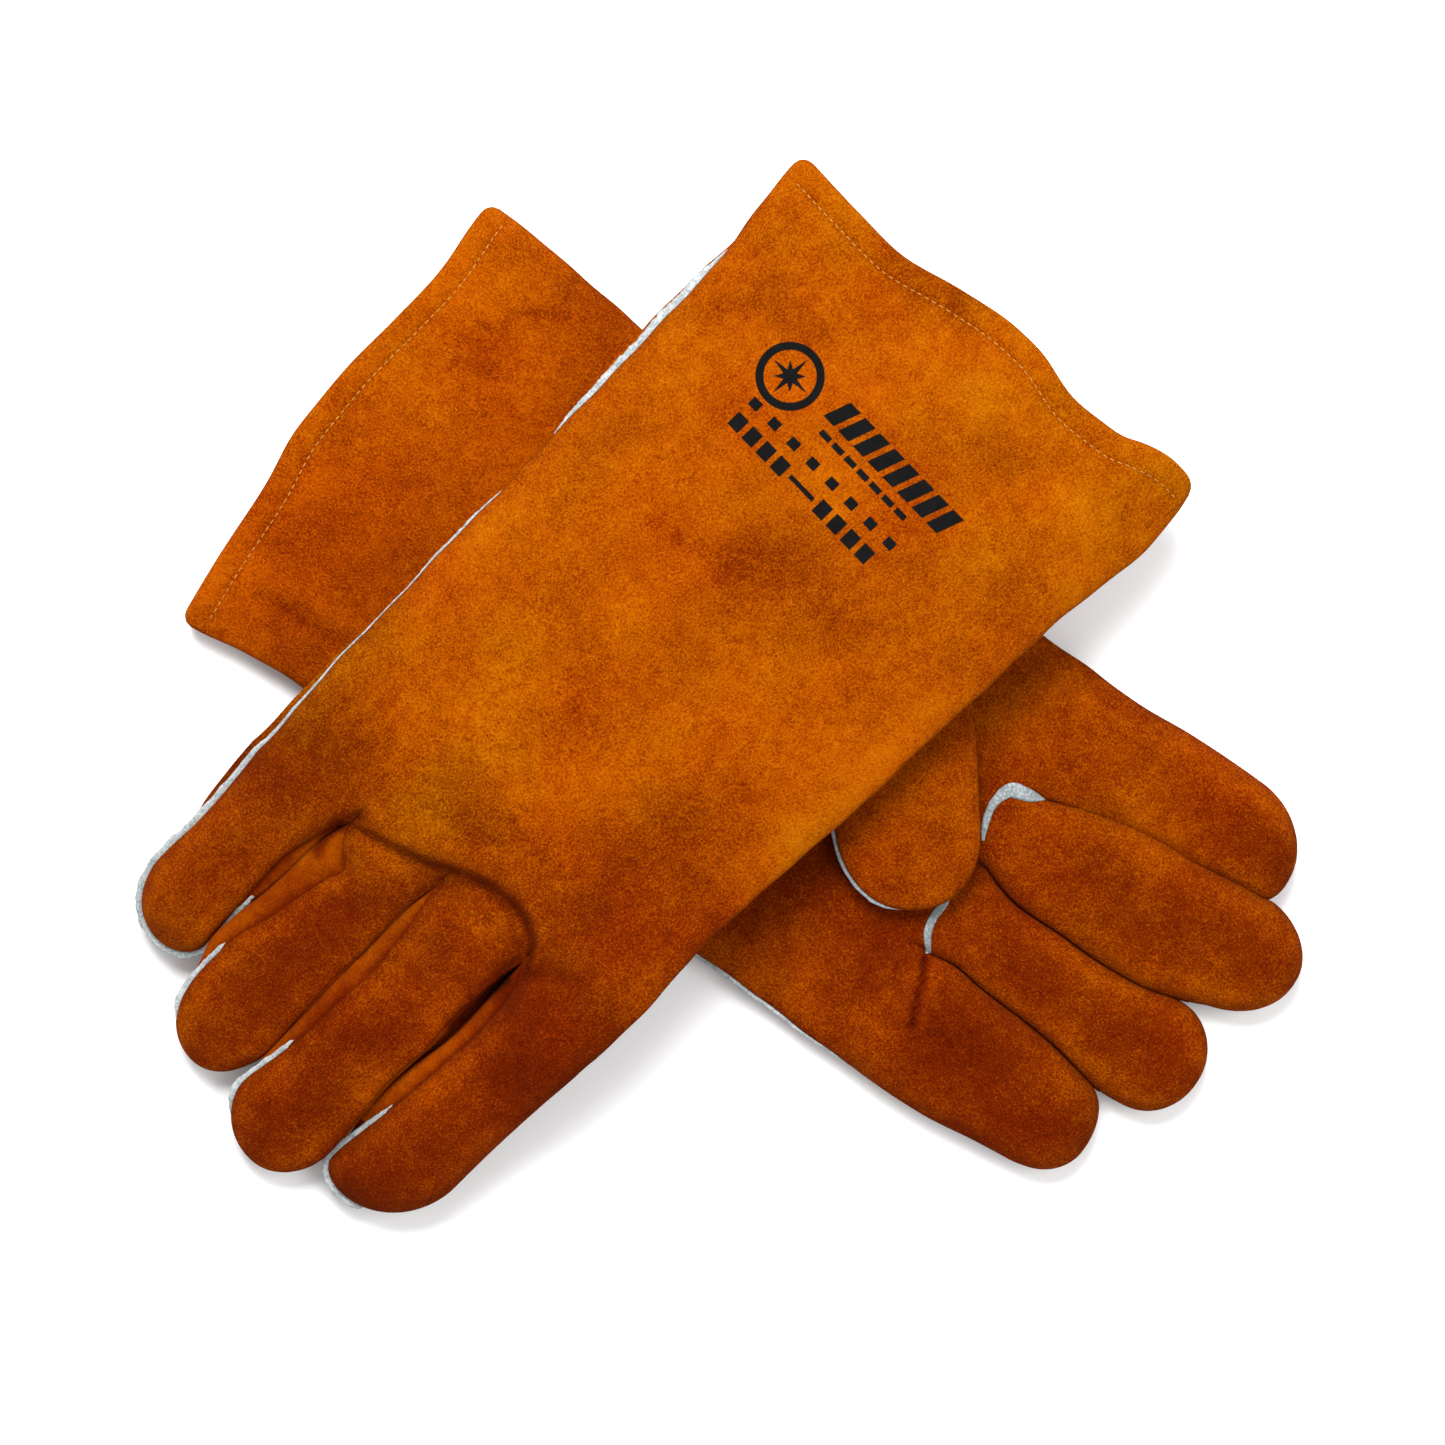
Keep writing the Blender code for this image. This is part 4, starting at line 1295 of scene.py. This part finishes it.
def make_thumb(maker):
    """The thumb: a flattened leaf of leather over the palm, with a skirt down to the palm round its heel."""
    glove = maker.glove
    to_palm = 1 if glove.palm_up else -1
    middle = float(glove.underside(THUMB_CENTRE[0])) + HALF_HEIGHT
    z = middle + to_palm * (HALF_HEIGHT + glove.thumb_gap + THUMB_HALF_HEIGHT)
    angle = math.radians(glove.thumb_heading)
    ahead = np.array((math.cos(angle), math.sin(angle)))
    aside = np.array((-ahead[1], ahead[0]))
    heel = -THUMB_HEEL * np.cos(np.linspace(0.02, 1, THUMB_HEEL_ROWS) * math.pi / 2)
    x = np.concatenate((heel, THUMB_LENGTH * slowing(THUMB_ROWS, THUMB_CROWDING)[1:]))[:, None]
    y = -np.cos(np.linspace(0, np.pi, THUMB_COLUMNS))[None]

    # The outline, and how thick the thumb is along it.
    tip_reach = 1.15 * THUMB_HALF_WIDTH
    into_tip = np.clip((x - (THUMB_LENGTH - tip_reach)) / tip_reach, 0, 1)
    into_heel = np.clip(-x / THUMB_HEEL, 0, 1)
    plan = (1 - into_tip**THUMB_TIP_OVAL) ** (1 / THUMB_TIP_OVAL) * (1 - into_heel**2) ** 0.5
    pillow = (1 - into_tip**3) ** 0.5 * (1 - into_heel**2.4) ** 0.5
    half = THUMB_HALF_WIDTH * plan * (1 + 0.07 * hump(x - 45, 30))
    belly = 2.6 * glove.palm_up * hump(x - 62, 26) * plan * np.clip(-y, 0, 1)
    flat = THUMB_CENTRE + x[..., None] * ahead + (y * half - belly)[..., None] * aside

    # The heights of the outer and inner sheets, with soft bumps and the dimple near the tip.
    skirt = 1 - smoothstep(-2, 20, x)
    rim = mix(SEAM_RIM * pillow, -THUMB_HALF_HEIGHT - 0.2, skirt)
    outer = rim + (THUMB_HALF_HEIGHT * pillow - rim) * bulge(y, THUMB_SQUARENESS)
    inner = mix(-SEAM_RIM * pillow, -THUMB_HALF_HEIGHT, skirt)
    inner = inner - (THUMB_HALF_HEIGHT * pillow + inner) * bulge(y, THUMB_SQUARENESS)
    spot = points_at(flat[..., 0], flat[..., 1], 0.0)
    bumps = 0.5 * waves(spot, 17, glove.seed + 20) + 0.25 * waves(spot, 7, glove.seed + 21)
    outer = outer + pillow * bulge(y, SOFT_SQUARENESS) * bumps
    outer = outer - 0.7 * hump(np.hypot(x - 80, half * y - 3), math.sqrt(12))
    outer, inner = (points_at(flat[..., 0], flat[..., 1], z + to_palm * height) for height in (outer, inner))
    grid = np.concatenate((outer, inner[:, ::-1]), axis=1)
    tone = glove.thumb_tone + 0.12 * waves(grid, 22, glove.seed + 22)
    skin = from_grid("thumb_leather", grid, tone, flip=not glove.palm_up)
    maker.stiff(skin, "leather", "thumb", "thumb_outer_side", "thumb_inner_side")

    edge = flat[x[:, 0] > 10]
    path = np.concatenate((edge[:, 0], edge[-2::-1, -1]))
    path = points_at(path[:, 0], path[:, 1], z)
    outward = right_of(path)
    hidden = smoothstep(0.42, 0.56, np.linspace(0, 1, len(path)))
    path = path - outward * (THUMB_WELT_TUCK * hidden)[:, None]
    reach = mix(THUMB_WELT_REACH, THUMB_WELT_HIDDEN_REACH, hidden)
    strip = Strip(WELT_THICKNESS, glove.seed + 30, THUMB_TAPER, WELT_TONE)
    maker.stiff(welt_skin("thumb_welt_strip", path, outward, reach, strip), "welt", "thumb", "thumb_welt")


def make_glove(glove, joints, materials):
    maker, hand = Maker(glove, joints, materials), Hand(glove)
    grid, tone = hand_skin(hand)
    digits = [Digit(glove, finger) for finger in glove.fingers]
    skins = [from_grid("hand_leather", grid, tone)]
    skins += [digit.grow(hand, grid[-1], k) for k, digit in enumerate(digits)]
    normals = shared_normals(skins)
    maker.stiff(skins[0], "leather", "hand", "back_panel", "palm_panel", "hem", normals=normals[0])
    for digit, skin, normal in zip(digits, skins[1:], normals[1:]):
        panels = (f"{digit.finger.name}_back_side", f"{digit.finger.name}_palm_side")
        maker.bending(skin, "leather", digit, *panels, normals=normal)
        for side in (0, 1):
            if digit.finger.sides[side].kind == "fourchette":
                make_fourchette(maker, digit, side)
        make_tip_welt(maker, digit)
    make_side_welt(maker)
    make_linings(maker, hand)
    make_hem_stitches(maker, hand)
    make_base_welt(maker, hand)
    make_thumb(maker)
    return maker, hand


def make_mark(maker, hand):
    """A plain generic print on the cuff: a spark in a ring, beside and above plain bars."""
    parts = []

    def patch(corner, down, across, rows, columns, flip=False):
        """A flat patch of cells at a corner, with its two sides."""
        i, j = np.linspace(0, 1, rows)[:, None, None], np.linspace(0, 1, columns)[None, :, None]
        faces = grid_faces(rows, columns, closed=False)
        cells = np.array(corner) + i * np.array(down) + j * np.array(across)
        parts.append((cells.reshape(-1, 2), [face[::-1] for face in faces] if flip else faces))

    def bar(u, v, tall, wide):
        rows, columns = (max(2, int(size / MARK_CELL) + 1) for size in (tall, wide))
        patch((u, v), (tall, 0), (0, wide), rows, columns)

    def around(centre, radius, angle):
        return np.stack((centre[0] + radius * np.cos(angle), centre[1] + radius * np.sin(angle)), axis=-1)

    def ring(centre, inner, outer):
        angle = math.tau * np.arange(RING_CORNERS) / RING_CORNERS
        cells = np.stack([around(centre, radius, angle) for radius in (inner, (inner + outer) / 2, outer)])
        parts.append((cells.reshape(-1, 2), grid_faces(3, RING_CORNERS)))

    def spark(centre, root, tips):
        shares = np.array((0, 0.25, 0.5, 0.75, 0.97))[:, None, None]
        for k, tip in enumerate(tips):
            angle, turn = math.tau * k / len(tips), math.pi / len(tips)
            foot = np.stack((around(centre, root, angle - turn), centre, around(centre, root, angle + turn)))
            cells = mix(foot, around(centre, tip, angle), shares)
            parts.append((cells.reshape(-1, 2), grid_faces(5, 3, closed=False)))

    emblem = (58, -37)
    ring(emblem, 8.3, 10.8)
    spark(emblem, 2.3, (7.4, 5.0) * 4)
    for k in range(8):
        patch((59, -21 + 6.6 * k), (-9, 3.0), (0, 4.6), 5, 4, flip=True)
    for k in range(7):
        bar(62, -18 + 5.6 * k, 2.0, 4.2)
    for k in range(8):
        bar(70.2, -40 + 8.6 * k, 3.2, 3.6)
    for k in (0, 1, 2, 3, 6, 7, 8, 9):
        bar(77, -40 + 6.3 * k, 5.2, 4.4)
    bar(78.8, -14.6, 1.5, 10.4)
    skin = joined("cuff_mark", parts, 0.6)
    spots = hand.skin_at(skin.points[:, 0], skin.points[:, 1], 1) + (0, 0, MARK_LIFT)
    maker.stiff(skin._replace(points=spots), "ink", "hand")


# ---- floor, light and camera


def make_floor():
    mesh = bpy.data.meshes.new("studio_floor")
    mesh.from_pydata([(-8, -8, 0), (8, -8, 0), (8, 8, 0), (-8, 8, 0)], [], [(0, 1, 2, 3)])
    mesh.materials.append(floor_paper())
    floor = bpy.data.objects.new("studio_floor", mesh)
    bpy.context.scene.collection.objects.link(floor)


def make_light(name, location, size, power):
    light = bpy.data.lights.new(name, "AREA")
    light.shape = "SQUARE"
    light.size = size
    light.energy = power
    lamp = bpy.data.objects.new(name, light)
    lamp.location = location
    lamp.rotation_euler = (-Vector(location)).to_track_quat("-Z", "Y").to_euler()
    bpy.context.scene.collection.objects.link(lamp)


def make_studio():
    make_floor()
    make_light("key_softbox", (-0.15, 0.8, 1.35), 0.8, 52.0)
    make_light("fill_softbox", (0.9, -0.2, 1.5), 1.0, 16.0)
    world = bpy.data.worlds.new("studio_world")
    world.use_nodes = True
    background = world.node_tree.nodes["Background"]
    background.inputs["Color"].default_value = (1, 1, 1, 1)
    background.inputs["Strength"].default_value = 0.85
    bpy.context.scene.world = world
    bpy.context.scene.view_settings.view_transform = "Standard"


def make_camera():
    camera = bpy.data.cameras.new("camera")
    camera.lens = 155.7
    camera.sensor_width = 36.0
    camera.clip_end = 20.0
    holder = bpy.data.objects.new("camera", camera)
    holder.location = (0.0008, -0.0065, 2.0)
    bpy.context.scene.collection.objects.link(holder)
    bpy.context.scene.camera = holder


def main():
    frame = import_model()
    make_camera()
    make_studio()
    materials = make_materials()
    make_glove(LEFT, frame["joints"], materials)
    make_mark(*make_glove(RIGHT, frame["joints"], materials))


main()
